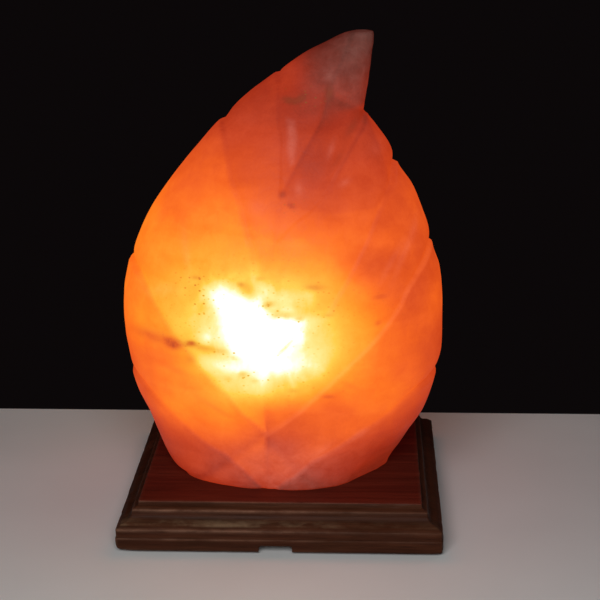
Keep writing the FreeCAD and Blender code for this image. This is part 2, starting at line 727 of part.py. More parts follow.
keep(revolve("bulb_glass", [
    (5.6, 16.65), (6.3, 16.65), (6.3, 21.0), (9.65, 27.0, 7.05, -1), (13.0, 33.0, 7.05, 1), (13.0, 44.0),
    (0.0, 57.0, 13.0, 1), (0.0, 56.3), (12.3, 44.0, 12.3, -1), (12.3, 33.3), (8.95, 27.3, 7.05, -1),
    (5.6, 21.3, 7.05, 1)], bx, 0, bz))

keep(revolve("bulb_stem", [
    (0.0, 30.5), (2.2, 30.5), (2.2, 22.2), (4.8, 16.4), (5.5, 16.4), (5.5, 17.1), (2.9, 22.5), (2.9, 32.0),
    (2.3, 34.0), (0.0, 34.0)], bx, 0, bz))


def wire(points, radius):
    """Round wire along straight runs joined by small tangent arcs."""
    pts = [V(*p) for p in points]
    edges, at = [], pts[0]
    for i in range(1, len(pts) - 1):
        a, b, c = pts[i - 1], pts[i], pts[i + 1]
        u = (a - b).normalize()
        w = (c - b).normalize()
        turn = math.pi - u.getAngle(w)
        cut_back = min(0.8, 0.45 * min((a - b).Length, (c - b).Length))
        s, e = b + u * cut_back, b + w * cut_back
        r = cut_back / math.tan(turn / 2)
        mid_dir = (u + w).normalize()
        mid = b + mid_dir * (math.hypot(r, cut_back) - r)
        edges.append(Part.LineSegment(at, s).toShape())
        edges.append(Part.Arc(s, mid, e).toShape())
        at = e
    edges.append(Part.LineSegment(at, pts[-1]).toShape())
    spine = Part.Wire(edges)
    start = pts[1] - pts[0]
    profile = Part.Wire([Part.Circle(pts[0], start, radius).toShape()])
    return spine.makePipeShell([profile], True, True)


def wires(label, runs, radius, x, y, z):
    """Fine wires of the bulb's mount, each bent along its own run."""
    f = doc.addObject("Part::Feature", label)
    f.Label = label
    f.Shape = Part.makeCompound([wire(r, radius) for r in runs])
    place(f, x, y, z)
    return keep(f)


wires("bulb_lead_wires", [
    [(1.2, 0, 34.02), (1.2, 0, 35.6), (6.2, 0, 39.6), (6.6, 0, 41.2)],
    [(-1.2, 0, 34.02), (-1.2, 0, 35.6), (-6.2, 0, 39.6), (-6.6, 0, 41.2)],
    [(0, 0, 1.3), (0, 0, 30.4)],
    [(1.3, 0, 30.4), (1.3, 0, 12.0), (4.6, 0, 8.4)],
], 0.28, bx, 0, bz)
wires("bulb_support_wires", [
    [(0, 0.9, 34.02), (0, 0.9, 38.0), (0, 2.4, 42.2)],
    [(0, -0.9, 34.02), (0, -0.9, 38.0), (0, -2.4, 42.2)],
], 0.16, bx, 0, bz)

# the coiled filament's envelope: one arc from lead to lead
f = doc.addObject("Part::Feature", "bulb_filament")
f.Label = "bulb_filament"
fa, fb, fm = V(-6.2, 0, 41.4), V(6.2, 0, 41.4), V(0, 0, 43.4)
arc = Part.Arc(fa, fm, fb)
tangent = arc.tangent(arc.FirstParameter)[0]
ring_wire = Part.Wire([Part.Circle(fa, tangent, 0.32).toShape()])
f.Shape = Part.Wire([arc.toShape()]).makePipeShell([ring_wire], True, True)
place(f, bx, 0, bz)
keep(f)

# ---------------------------------------------------------------- checks and export
doc.recompute()
bad = []
for o in doc.Objects:
    if "Invalid" in o.State or "Error" in o.State:
        bad.append("%s state %s" % (o.Label, o.State))
names = set()
for o in SUBPARTS:
    s = o.Shape
    if s.isNull() or not s.isValid() or not s.Solids:
        bad.append("%s shape null, not valid or with no solid" % o.Label)
        continue
    if o.Label in names:
        bad.append("%s is used twice" % o.Label)
    names.add(o.Label)
    b = s.BoundBox
    print("%-20s solids %d  vol %10.1f mm3  x %.2f..%.2f y %.2f..%.2f z %.2f..%.2f" % (
        o.Label, len(s.Solids), s.Volume, b.XMin, b.XMax, b.YMin, b.YMax, b.ZMin, b.ZMax))
if bad:
    raise RuntimeError("; ".join(bad))

os.makedirs("parts", exist_ok=True)
for o in SUBPARTS:
    o.Shape.exportStep(os.path.join("parts", o.Label + ".step"))
print("wrote", len(SUBPARTS), "sub-parts")
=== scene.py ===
import json
import math

import bpy
import numpy as np
from mathutils import Matrix, Vector


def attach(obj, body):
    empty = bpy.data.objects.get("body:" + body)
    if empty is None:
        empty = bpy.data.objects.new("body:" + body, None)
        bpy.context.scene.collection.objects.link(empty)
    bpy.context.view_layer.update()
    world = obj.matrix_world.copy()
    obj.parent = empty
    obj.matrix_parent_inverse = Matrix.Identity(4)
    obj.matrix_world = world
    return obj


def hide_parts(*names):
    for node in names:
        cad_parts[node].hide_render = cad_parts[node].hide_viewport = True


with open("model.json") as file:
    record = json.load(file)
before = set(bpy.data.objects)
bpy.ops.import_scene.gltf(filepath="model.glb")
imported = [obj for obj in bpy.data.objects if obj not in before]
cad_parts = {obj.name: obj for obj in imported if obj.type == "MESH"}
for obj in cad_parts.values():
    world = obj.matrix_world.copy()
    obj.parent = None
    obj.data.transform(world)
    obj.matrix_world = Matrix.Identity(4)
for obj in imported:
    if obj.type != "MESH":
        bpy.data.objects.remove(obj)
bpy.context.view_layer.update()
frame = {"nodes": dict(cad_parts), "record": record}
MM = 0.001
scene = bpy.context.scene

# ------------------------------------------------------------------ camera
YAW, PITCH, ROLL = math.radians(-2.33025), math.radians(16.05210), math.radians(-0.25095)
cam_data = bpy.data.cameras.new("view_camera")
cam_data.sensor_fit = "HORIZONTAL"
cam_data.sensor_width = 36.0
cam_data.lens = 1670.625 / 600 * 36.0
cam_data.clip_start, cam_data.clip_end = 0.01, 20.0
cam = bpy.data.objects.new("view_camera", cam_data)
scene.collection.objects.link(cam)
fwd = Vector((math.sin(YAW) * math.cos(PITCH), math.cos(YAW) * math.cos(PITCH), -math.sin(PITCH)))
right = Vector((math.cos(YAW), -math.sin(YAW), 0.0))
up = right.cross(fwd)
r2 = math.cos(ROLL) * right + math.sin(ROLL) * up
u2 = -math.sin(ROLL) * right + math.cos(ROLL) * up
turn = Matrix((r2, u2, -fwd)).transposed().to_4x4()
cam.matrix_world = Matrix.Translation((0.039897, -0.798448, 0.332801)) @ turn
scene.camera = cam

# ------------------------------------------------------------------ node helpers


def new_material(name):
    m = bpy.data.materials.new(name)
    m.use_nodes = True
    nt = m.node_tree
    return m, nt, nt.nodes["Principled BSDF"]


def put(nt, socket, value):
    """Links an output to a socket, or sets the socket's own value."""
    if isinstance(value, bpy.types.NodeSocket):
        nt.links.new(value, socket)
    else:
        socket.default_value = value


def node(nt, kind, inputs=None, **props):
    n = nt.nodes.new(kind)
    for k, v in props.items():
        setattr(n, k, v)
    for k, v in (inputs or {}).items():
        put(nt, n.inputs[k], v)
    return n


def coords(nt, scale=(1, 1, 1), shift=(0, 0, 0)):
    tc = node(nt, "ShaderNodeTexCoord")
    return node(nt, "ShaderNodeMapping", {"Vector": tc.outputs["Object"], "Scale": scale, "Location": shift}).outputs[0]


def noise(nt, vec, scale, detail=3.0, rough=0.55, warp=0.0):
    n = node(nt, "ShaderNodeTexNoise", {"Vector": vec, "Scale": scale, "Detail": detail, "Roughness": rough,
                                       "Distortion": warp})
    return n.outputs["Fac"]


def remap(nt, value, a, b, c=0.0, d=1.0, smooth=False):
    n = node(nt, "ShaderNodeMapRange", {"Value": value, "From Min": a, "From Max": b, "To Min": c, "To Max": d})
    n.clamp = True
    if smooth:
        n.interpolation_type = "SMOOTHSTEP"
    return n.outputs[0]


def op(nt, kind, a, b=None, c=None):
    n = node(nt, "ShaderNodeMath", operation=kind)
    put(nt, n.inputs[0], a)
    if b is not None:
        put(nt, n.inputs[1], b)
    if c is not None:
        put(nt, n.inputs[2], c)
    return n.outputs[0]


def mix(nt, fac, a, b, blend="MIX"):
    n = node(nt, "ShaderNodeMix", data_type="RGBA", blend_type=blend)
    put(nt, n.inputs[0], fac)
    put(nt, n.inputs[6], a if isinstance(a, bpy.types.NodeSocket) else (*a, 1.0))
    put(nt, n.inputs[7], b if isinstance(b, bpy.types.NodeSocket) else (*b, 1.0))
    return n.outputs[2]


def ramp(nt, fac, stops, kind="LINEAR"):
    n = node(nt, "ShaderNodeValToRGB", {"Fac": fac})
    e = n.color_ramp.elements
    n.color_ramp.interpolation = kind
    while len(e) > 1:
        e.remove(e[-1])
    e[0].position, e[0].color = stops[0][0], (*stops[0][1], 1.0)
    for p, c in stops[1:]:
        k = e.new(p)
        k.color = (*c, 1.0)
    return n.outputs["Color"]


def attribute(nt, name):
    return node(nt, "ShaderNodeAttribute", attribute_name=name, attribute_type="GEOMETRY").outputs["Fac"]


def bump(nt, height, strength, distance, normal=None):
    n = node(nt, "ShaderNodeBump", {"Height": height, "Strength": strength, "Distance": distance})
    if normal is not None:
        put(nt, n.inputs["Normal"], normal)
    return n.outputs["Normal"]


# ------------------------------------------------------------------ numeric helpers


def table(xs, ys, x):
    """Monotone cubic through a table, so that an outline has no ripples between its levels."""
    xs, ys = np.asarray(xs, float), np.asarray(ys, float)
    h = np.diff(xs)
    d = np.diff(ys) / h
    m = np.zeros_like(ys)
    m[0], m[-1] = d[0], d[-1]
    same = d[:-1] * d[1:] > 0
    w1, w2 = 2 * h[1:] + h[:-1], h[1:] + 2 * h[:-1]
    m[1:-1] = np.where(same, (w1 + w2) / (w1 / np.where(same, d[:-1], 1) + w2 / np.where(same, d[1:], 1)), 0)
    i = np.clip(np.searchsorted(xs, x, side="right") - 1, 0, len(xs) - 2)
    t = (x - xs[i]) / h[i]
    return ((2 * t**3 - 3 * t**2 + 1) * ys[i] + (t**3 - 2 * t**2 + t) * h[i] * m[i]
            + (-2 * t**3 + 3 * t**2) * ys[i + 1] + (t**3 - t**2) * h[i] * m[i + 1])


def step(a, b, x):
    t = np.clip((x - a) / (b - a), 0, 1)
    return t * t * (3 - 2 * t)


def grain(p, size, seed):
    """Smooth value noise of -1 to 1 at points p, in cells of that size."""
    g = p / size
    i = np.floor(g).astype(np.int64)
    f = g - i
    f = f * f * f * (f * (f * 6 - 15) + 10)
    total = 0.0
    for dx in (0, 1):
        for dy in (0, 1):
            for dz in (0, 1):
                h = ((i[:, 0] + dx) * 374761393 + (i[:, 1] + dy) * 668265263 + (i[:, 2] + dz) * 1274126177
                     + seed * 974711) & 0xFFFFFFFF
                h = ((h ^ (h >> 13)) * 1103515245) & 0xFFFFFFFF
                h = (h ^ (h >> 16)) & 0xFFFF
                w = ((f[:, 0] if dx else 1 - f[:, 0]) * (f[:, 1] if dy else 1 - f[:, 1])
                     * (f[:, 2] if dz else 1 - f[:, 2]))
                total = total + w * (h / 32767.5 - 1.0)
    return total


def polyline(x, z, pts, side):
    """Signed distance to a line of (x, z) points, positive on its lower side, how far along it is
    the nearest point (0 to 1), and how far past its last point the nearest point would lie."""
    pts = np.asarray(pts, float)
    seg = np.diff(pts, axis=0)
    lens = np.hypot(seg[:, 0], seg[:, 1])
    total = lens.sum()
    best = np.full(x.shape, 1e9)
    sign = np.zeros(x.shape)
    along = np.zeros(x.shape)
    past = np.zeros(x.shape)
    run = 0.0
    for k, (s, n) in enumerate(zip(seg, lens)):
        t = ((x - pts[k, 0]) * s[0] + (z - pts[k, 1]) * s[1]) / (n * n)
        tc = np.clip(t, 0, 1)
        ex, ez = x - (pts[k, 0] + tc * s[0]), z - (pts[k, 1] + tc * s[1])
        dist = np.hypot(ex, ez)
        cross = side * (ez * s[0] - ex * s[1]) / n
        near = dist < best
        best = np.where(near, dist, best)
        sign = np.where(near, np.sign(cross), sign)
        along = np.where(near, (run + tc * n) / total, along)
        over = np.where(t > 1, (t - 1) * n, 0.0) if k == len(lens) - 1 else np.zeros(x.shape)
        past = np.where(near, over, past)
        run += n
    return best * np.where(sign >= 0, 1.0, -1.0), along, past


def polygon(x, z, pts):
    """Signed distance to a closed outline, positive inside."""
    pts = np.asarray(pts, float)
    best = np.full(x.shape, 1e9)
    inside = np.zeros(x.shape, bool)
    for (ax, az), (bx, bz) in zip(pts, np.roll(pts, -1, axis=0)):
        sx, sz = bx - ax, bz - az
        t = np.clip(((x - ax) * sx + (z - az) * sz) / (sx * sx + sz * sz), 0, 1)
        best = np.minimum(best, np.hypot(x - ax - t * sx, z - az - t * sz))
        if az != bz:
            inside ^= ((az > z) != (bz > z)) & (x < (bx - ax) * (z - az) / (bz - az) + ax)
    return np.where(inside, best, -best)


def mesh_object(name, verts, faces, smooth=True, attributes=None):
    me = bpy.data.meshes.new(name)
    me.from_pydata([tuple(v) for v in verts], [], faces)
    me.update()
    if smooth:
        me.polygons.foreach_set("use_smooth", [True] * len(me.polygons))
    for key, values in (attributes or {}).items():
        a = me.attributes.new(key, "FLOAT", "POINT")
        a.data.foreach_set("value", np.asarray(values, np.float32))
    ob = bpy.data.objects.new(name, me)
    scene.collection.objects.link(ob)
    return ob


# ------------------------------------------------------------------ the carved salt leaf
# Rim of the block at each height: (height, left, right, half depth), in millimetres.
RIM = [
    (22.63, -53.5, 53.8, 53.5), (27.2, -58.6, 55.6, 54.9), (33.2, -62.3, 59.6, 56.5), (41.2, -65.8, 64.3, 58.5),
    (51.2, -69.7, 70.4, 60.3), (61.2, -74.2, 73.7, 61.4), (71.2, -76.7, 75.9, 61.8), (81.2, -78.2, 78.1, 61.9),
    (91.2, -79.5, 78.4, 61.4), (101.2, -80.1, 78.4, 60.4), (111.2, -79.5, 77.9, 59.0), (121.2, -77.3, 76.7, 57.0),
    (131.2, -74.2, 73.2, 54.7), (141.2, -70.2, 71.3, 52.0), (151.2, -65.0, 67.7, 48.7), (161.2, -58.5, 63.2, 45.0),
    (171.2, -50.7, 56.0, 41.1), (181.2, -41.9, 51.8, 36.8), (191.2, -33.0, 44.6, 32.0), (196.2, -27.2, 40.6, 29.0),
    (199.2, -25.0, 39.5, 27.2), (202.2, -22.2, 39.5, 25.4), (206.2, -17.7, 39.8, 23.0), (211.2, -11.2, 40.6, 20.2),
    (216.2, -4.0, 41.2, 17.4), (221.2, 3.2, 41.9, 14.6), (226.2, 10.6, 42.4, 11.7), (231.2, 20.4, 43.0, 8.3),
    (234.2, 26.4, 43.1, 6.0), (235.6, 30.0, 42.9, 4.8), (236.2, 32.0, 42.4, 3.9), (236.46, 34.0, 41.0, 2.4),
]
# Carved veins, each from its notch in the rim to the midrib: (x, z).
MIDRIB = [(33.5, 238), (31.8, 232.8), (27.0, 221.0), (21.8, 210.1), (19.6, 199.2), (13.7, 188.3), (7.8, 178.0),
          (1.5, 166.7), (-1.5, 150.0), (-3.3, 137.3), (-5.5, 105.5), (-6.6, 82.8), (-6.8, 71.9), (-6.9, 52.9),
          (-6.2, 38.0), (-5.2, 20.0)]
VEINS = [
    # side, depth at the rim, depth inside, lip, drop of glow below, its reach, line of light, its fading, points
    (-1, 1.2, 0.45, 0.30, -0.010, 14.0, -0.014, 0.0,
     [(-10, 223), (-2.4, 217.7), (-0.8, 213.0), (-0.4, 198.1), (1.0, 184.1), (1.5, 166.7)]),
    (-1, 0.8, 0.50, 0.30, -0.048, 26.0, -0.036, 0.2,
     [(-37, 201), (-29.6, 197.0), (-27.6, 192.5), (-26.2, 187.9), (-22.0, 170.2), (-18.5, 160.1), (-15.0, 148.9),
      (-12.6, 140.2), (-9.5, 128.0), (-5.5, 116.0)]),
    (-1, 2.7, 0.60, 0.45, 0.095, 70.0, -0.010, 0.0,
     [(-86, 126.3), (-77, 126.6), (-73, 126.8), (-69.5, 125.0), (-64.1, 119.0), (-57.1, 108.6), (-50.6, 100.4),
      (-42.2, 92.0), (-32.7, 80.0), (-24.6, 74.3), (-17.2, 65.4), (-9.2, 58.1), (-6.9, 55.5)]),
    (-1, 2.0, 0.55, 0.40, 0.058, 36.0, -0.012, 0.0,
     [(-86, 70.6), (-77.6, 71.0), (-74, 71.6), (-68.7, 70.0), (-58.8, 63.8), (-48.6, 56.1), (-37.2, 47.7),
      (-25.5, 41.6), (-18.0, 34.0), (-11.0, 25.9), (-7.5, 21.0)]),
    (1, 1.3, 0.40, 0.30, 0.000, 12.0, -0.030, 0.9,
     [(50, 205), (41.0, 200.8), (39.0, 198.0), (37.8, 192.9), (32.2, 185.6), (27.7, 177.3), (21.8, 167.6),
      (14.0, 159.2), (8.1, 154.9), (2.0, 149.0), (-1.6, 146.0)]),
    (1, 2.1, 0.50, 0.40, 0.022, 16.0, -0.006, 0.0,
     [(66, 180), (54.3, 174.6), (53.4, 172.6), (52.0, 167.5), (47.9, 160.9), (42.8, 151.7), (39.6, 143.3),
      (34.1, 133.0), (29.5, 124.4), (20.0, 108.0), (8.0, 96.0), (-6.0, 88.0)]),
    (1, 2.2, 0.60, 0.50, 0.045, 60.0, 0.038, 0.0,
     [(88, 135.5), (74, 134.9), (71.2, 133.6), (69.0, 131.5), (60.9, 122.0), (56.2, 113.8), (48.3, 104.0),
      (39.0, 94.4), (29.7, 85.7), (20.4, 78.1), (9.7, 68.0), (1.7, 60.9), (-6.9, 54.0)]),
    (1, 2.4, 0.60, 0.40, 0.060, 40.0, 0.010, 0.0,
     [(88, 69.2), (76.2, 69.6), (72.5, 70.0), (67.5, 69.0), (61.7, 66.5), (50.6, 60.0), (39.2, 53.6), (26.9, 45.4),
      (14.1, 38.0), (7.9, 31.9), (0.5, 26.5), (-4.5, 21.0)]),
]
AXIS = np.array([-4.0, 0.0, 92.0])   # middle of the bulb's filament


def build_leaf():
    rim = np.array(RIM)
    # rows of points lie closer together at the levels of the rim's notches
    fine_z = np.linspace(22.63, 232.0, 4000)
    dense = 1.0 + sum(1.5 * np.exp(-(((fine_z - c) / 2.6) ** 2)) for c in (70.6, 126.0, 134.0, 173.6))
    run_z = np.concatenate([[0.0], np.cumsum((dense[1:] + dense[:-1]) / 2)])
    rows = np.interp(np.linspace(0, run_z[-1], 240), run_z, fine_z)
    rows = np.concatenate([rows, np.linspace(232.0, 236.46, 12)[1:]])
    left, rgt, half = (table(rim[:, 0], rim[:, k], rows) for k in (1, 2, 3))
    # more columns round the front than round the back
    around = np.concatenate([np.linspace(-math.pi, 0, 205, endpoint=False), np.linspace(0, math.pi, 150, endpoint=False)])
    around = around + 1e-4
    n = 2.15
    cs, sn = np.cos(around), np.sin(around)
    ux = np.sign(cs) * np.abs(cs) ** (2 / n)
    uy = np.sign(sn) * np.abs(sn) ** (2 / n)
    mid, wide = (left + rgt) / 2, (rgt - left) / 2
    X = mid[:, None] + wide[:, None] * ux[None, :]
    Y = half[:, None] * uy[None, :]
    Z = np.repeat(rows[:, None], len(around), axis=1)
    # the foot is not quite oval: fuller at the front left, flatter at the front right
    foot = 1 - step(22.63, 66.0, Z)
    heel = 1 - step(22.63, 48.0, Z)
    ang = np.degrees(np.arctan2(Y, X))
    swell = foot * (3.2 * np.exp(-(((ang + 143) / 17) ** 2)) - 1.5 * np.exp(-(((ang + 97) / 11) ** 2))
                    - 2.0 * np.exp(-(((ang - 40) / 18) ** 2))) - heel * 3.7 * np.exp(-(((ang + 38) / 16) ** 2))
    rad = np.hypot(X, Y)
    k = 1 + swell / np.maximum(rad, 20)
    X, Y = X * k, Y * k
    P = np.stack([X, Y, Z], -1)
    # normals of the plain block
    du = np.roll(P, -1, 1) - np.roll(P, 1, 1)
    dv = np.gradient(P, axis=0)
    N = np.cross(du, dv)
    N /= np.linalg.norm(N, axis=-1, keepdims=True) + 1e-12
    shape = X.shape
    x, y, z = X.ravel(), Y.ravel(), Z.ravel()
    p = np.stack([x, y, z], 1)
    nrm = N.reshape(-1, 3)
    midx = table([a[1] for a in MIDRIB[::-1]], [a[0] for a in MIDRIB[::-1]], z)
    on_left = step(-1.2, 1.2, midx - x)
    # slight wander of the carver's lines
    wx = x + 0.7 * grain(p, 23.0, 5) + 0.25 * grain(p, 7.0, 6)
    wz = z + 0.7 * grain(p, 21.0, 7) + 0.25 * grain(p, 6.0, 8)
    front = step(3.0, -9.0, y)
    h = np.zeros_like(x)
    lobes = np.zeros_like(x)
    line = np.zeros_like(x)
    level = 0.0
    for side, d_rim, d_in, lip, drop, reach, light, fade, pts in VEINS:
        s, along, past = polyline(wx, wz, pts, side)
        own = on_left if side < 0 else 1 - on_left
        own = own * np.exp(-((past / 3.0) ** 2))
        light = light * (1 - fade * step(0.25, 0.65, along))
        near_rim = np.exp(-np.maximum(along - 0.12, 0) * 9.0)
        depth = d_in + (d_rim - d_in) * near_rim
        upper = -depth * np.exp(np.minimum(s, 0) / 1.9)
        rise = np.clip(s / (1.2 + 0.9 * near_rim), 0, 1)
        lower = -depth + (depth + lip) * rise
        fall = lip * np.exp(-np.maximum(s - 1.2 - 0.9 * near_rim, 0) / 11.0) - lip
        h += own * np.where(s < 0, upper, lower + fall)
        shade = np.where(s > 0, np.exp(-np.maximum(s, 0) / reach) * step(-0.4, 1.4, s), 0.0)
        lobes -= own * drop * shade * (0.35 + 0.65 * front) * (0.15 + 0.85 * step(0.04, 0.30, along))
        line += own * light * np.exp(-(((s - 1.1) / 0.95) ** 2)) * (0.4 + 0.6 * front)
    # midrib: a shallow crease
    m = x - midx
    rib = step(24, 40, z) * (0.5 + 0.5 * step(200, 60, z))
    h -= 0.55 * rib * np.exp(-((m / 1.8) ** 2))
    lower_rib = step(40, 50, z) * step(78, 62, z)
    lobes -= 0.10 * lower_rib * step(-0.5, 1.0, m) * np.exp(-np.maximum(m, 0) / 9.0) * (0.3 + 0.7 * front)
    lobes -= 0.02 * rib * np.exp(-((m / 1.2) ** 2))
    # hand carving: broad hollows, and finer tool marks
    broad = grain(p, 37.0, 11)
    marks = grain(p * np.array([1.0, 1.0, 0.6]), 11.0, 12)
    fine = grain(p, 4.2, 13)
    edge_fade = step(236.4, 228.0, z)
    h += (0.45 * broad + 0.16 * marks + 0.05 * fine - 0.35) * edge_fade
    # chips along the foot
    h -= 0.9 * step(27.5, 22.6, z) * (0.35 + 0.65 * np.clip(grain(p, 5.0, 21) + 0.3, 0, 1))
    h = np.where(z > 236.2, 0, h)
    q = p + nrm * h[:, None]
    q[:, 2] = np.clip(q[:, 2], 22.66, 236.47)
    q[:shape[1], 2] = 22.66
    q[:, 0] = np.clip(q[:, 0], -80.05, 78.0)

    # ---------------- how much of the bulb's light comes through at each point
    ox, oz = wx + 6.0, wz - 101.0
    r = np.hypot(ox / np.where(ox > 0, 1.06, 1.15), oz)
    glow = table([0, 14, 22, 28, 35, 42, 48, 55, 63, 72, 84, 91, 105, 120, 140, 170],
                 [0.92, 0.91, 0.87, 0.815, 0.715, 0.62, 0.555, 0.48, 0.415, 0.355, 0.295, 0.265, 0.22, 0.165, 0.11,
                  0.07], np.clip(r, 0, 169))

    def zone(cx, cz, rx, rz):
        return np.exp(-(((wx - cx) / rx) ** 2) - (((wz - cz) / rz) ** 2))

    glow += 0.105 * zone(-66, 140, 26, 32) + 0.03 * zone(-28, 166, 20, 20) + 0.06 * zone(68, 160, 16, 26)
    glow -= 0.07 * zone(6, 158, 34, 26) + 0.13 * zone(41, 130, 20, 20) + 0.03 * zone(46, 86, 13, 12)
    glow -= 0.08 * zone(-8, 132, 22, 10)
    glow += 0.10 * zone(-72, 98, 12, 16) + 0.09 * zone(-52, 62, 12, 12) + 0.08 * zone(74, 110, 9, 14)
    glow += 0.04 * zone(-64, 110, 10, 10) + 0.02 * zone(-18, 50, 14, 10) - 0.05 * zone(10, 67, 10, 8)
    glow += 0.05 * zone(38, 152, 12, 10) + 0.07 * zone(46, 142, 14, 9) + 0.035 * zone(33, 188, 12, 12)
    glow -= 0.025 * zone(13, 203, 13, 9) + 0.02 * zone(12, 180, 14, 12) - 0.06 * zone(2, 220, 12, 12)
    glow += 0.09 * zone(8, 110, 12, 7) - 0.05 * zone(20, 76, 9, 7) - 0.03 * zone(-4, 77, 8, 6)
    glow += 0.035 * zone(14, 38, 14, 12) + 0.045 * zone(-43, 33, 13, 9) + 0.03 * zone(-29, 65, 9, 8) + 0.035 * zone(37, 169, 13, 10)
    # the light fades quickly over the last centimetre above the meeting of the lower veins
    glow -= 0.17 * step(79, 66, z) * step(30, 62, z) * np.exp(-(((x + 1) / 18) ** 2))
    glow -= 0.05 * step(62, 40, z) * np.exp(-(((x - 2) / 30) ** 2)) + 0.04 * step(60, 36, z)
    glow -= 0.12 * zone(25, 68, 13, 14) * step(-2, 4, x)
    glow += 0.07 * zone(52, 70, 15, 14)
    glow += lobes + line
    # zones of the front face, as (x, z) outlines
    hot = polygon(wx, wz, [(-33.8, 122.4), (-29.9, 125.0), (-23.8, 124.5), (-18.1, 121.6), (-12.5, 118.2),
                           (-9.5, 117.0), (-7.9, 121.1), (-6.9, 124.7), (-5.0, 124.3), (-5.1, 119.3), (-6.4, 115.6),
                           (-2.3, 112.0), (3.8, 110.0), (9.0, 109.8), (11.4, 108.6), (8.4, 104.6), (4.2, 100.0),
                           (0.0, 95.8), (5.1, 95.3), (11.2, 92.6), (12.7, 88.6), (9.8, 84.6), (3.2, 83.4),
                           (-4.2, 82.6), (-7.0, 80.8), (-9.8, 83.6), (-14.0, 86.8), (-16.8, 90.3), (-20.1, 93.8),
                           (-23.8, 96.6), (-27.1, 99.2), (-29.0, 103.5), (-29.9, 109.1), (-31.4, 114.5),
                           (-33.3, 118.9)])
    warm = polygon(wx, wz, [(-60.8, 121.6), (-52.1, 129.1), (-30, 134.5), (-13.5, 137.5), (5, 136), (23.5, 133.3),
                            (46.7, 118.8), (51.5, 111.8), (42.2, 100.9), (20, 80), (-6.2, 69.9), (-26.5, 75.7),
                            (-57.1, 108.6)])
    dusk = polygon(wx, wz, [(1.5, 167.7), (4.8, 160.6), (15, 158.4), (26.5, 157.4), (45.1, 157.9), (52.5, 166),
                            (46, 184), (39, 199), (21.8, 210.1), (18.9, 199.2), (12.9, 188.3), (7.2, 178.0)])
    glow += front * 0.020 * step(-5.0, 4.0, warm)
    glow += front * (0.19 * step(-4.6, 6.4, hot) + 0.04 * step(-11.0, 0.0, hot))
    glow -= front * 0.025 * step(-0.8, 1.0, dusk)
    ragged = front * np.exp(-(((hot + 2.0) / 9.0) ** 2))

    def spot(cx, cz, rx, rz, tilt=0.0):
        c, s_ = math.cos(math.radians(tilt)), math.sin(math.radians(tilt))
        a, b = (wx - cx) * c + (wz - cz) * s_, -(wx - cx) * s_ + (wz - cz) * c
        return front * np.exp(-((a / rx) ** 2) - ((b / rz) ** 2))

    # paler flares in the salt round the hot zone: x, z, radii, tilt, strength
    for cx, cz, rx, rz, tilt, k_ in [
        (10.0, 101.8, 5.0, 4.0, 45, 0.10), (-34.0, 100.3, 4.2, 3.4, 0, 0.13), (15.0, 89.5, 5.0, 4.0, 0, 0.05),
        (-22.0, 87.2, 9.5, 3.0, -8, 0.09), (-34.5, 86.0, 6.5, 4.0, 10, 0.05), (-11.0, 131.0, 2.4, 6.0, 0, 0.09),
        (28.0, 92.0, 12.0, 6.0, 40, 0.02), (3.5, 120.6, 6.0, 3.2, 0, 0.10), (14.0, 121.5, 4.0, 2.4, 0, 0.05),
        (-14.5, 123.5, 5.0, 3.6, -35, -0.12), (22.0, 117.0, 9.0, 5.0, -20, -0.05), (14.0, 114.4, 5.5, 2.8, 0, -0.10),
        (3.3, 98.2, 9.5, 0.9, 49, -0.15), (2.6, 113.2, 6.5, 1.4, -10, -0.12), (-37.5, 112.0, 3.0, 6.0, 0, -0.05),
        (-12.0, 76.0, 10.0, 5.0, 0, 0.03), (-40.0, 78.0, 9.0, 5.0, 20, -0.05),
        (33.0, 126.0, 14.0, 5.0, -10, 0.02), (-56.0, 88.0, 14.0, 5.0, 10, -0.05), (-2.0, 128.0, 3.0, 6.0, 0, -0.03),
        (-36.0, 94.6, 5.0, 2.4, -8, -0.10), (-6.5, 119.5, 2.6, 4.0, 0, -0.09), (5.1, 91.5, 4.0, 3.0, 0, -0.08),
    ]:
        glow += k_ * spot(cx, cz, rx, rz, tilt)
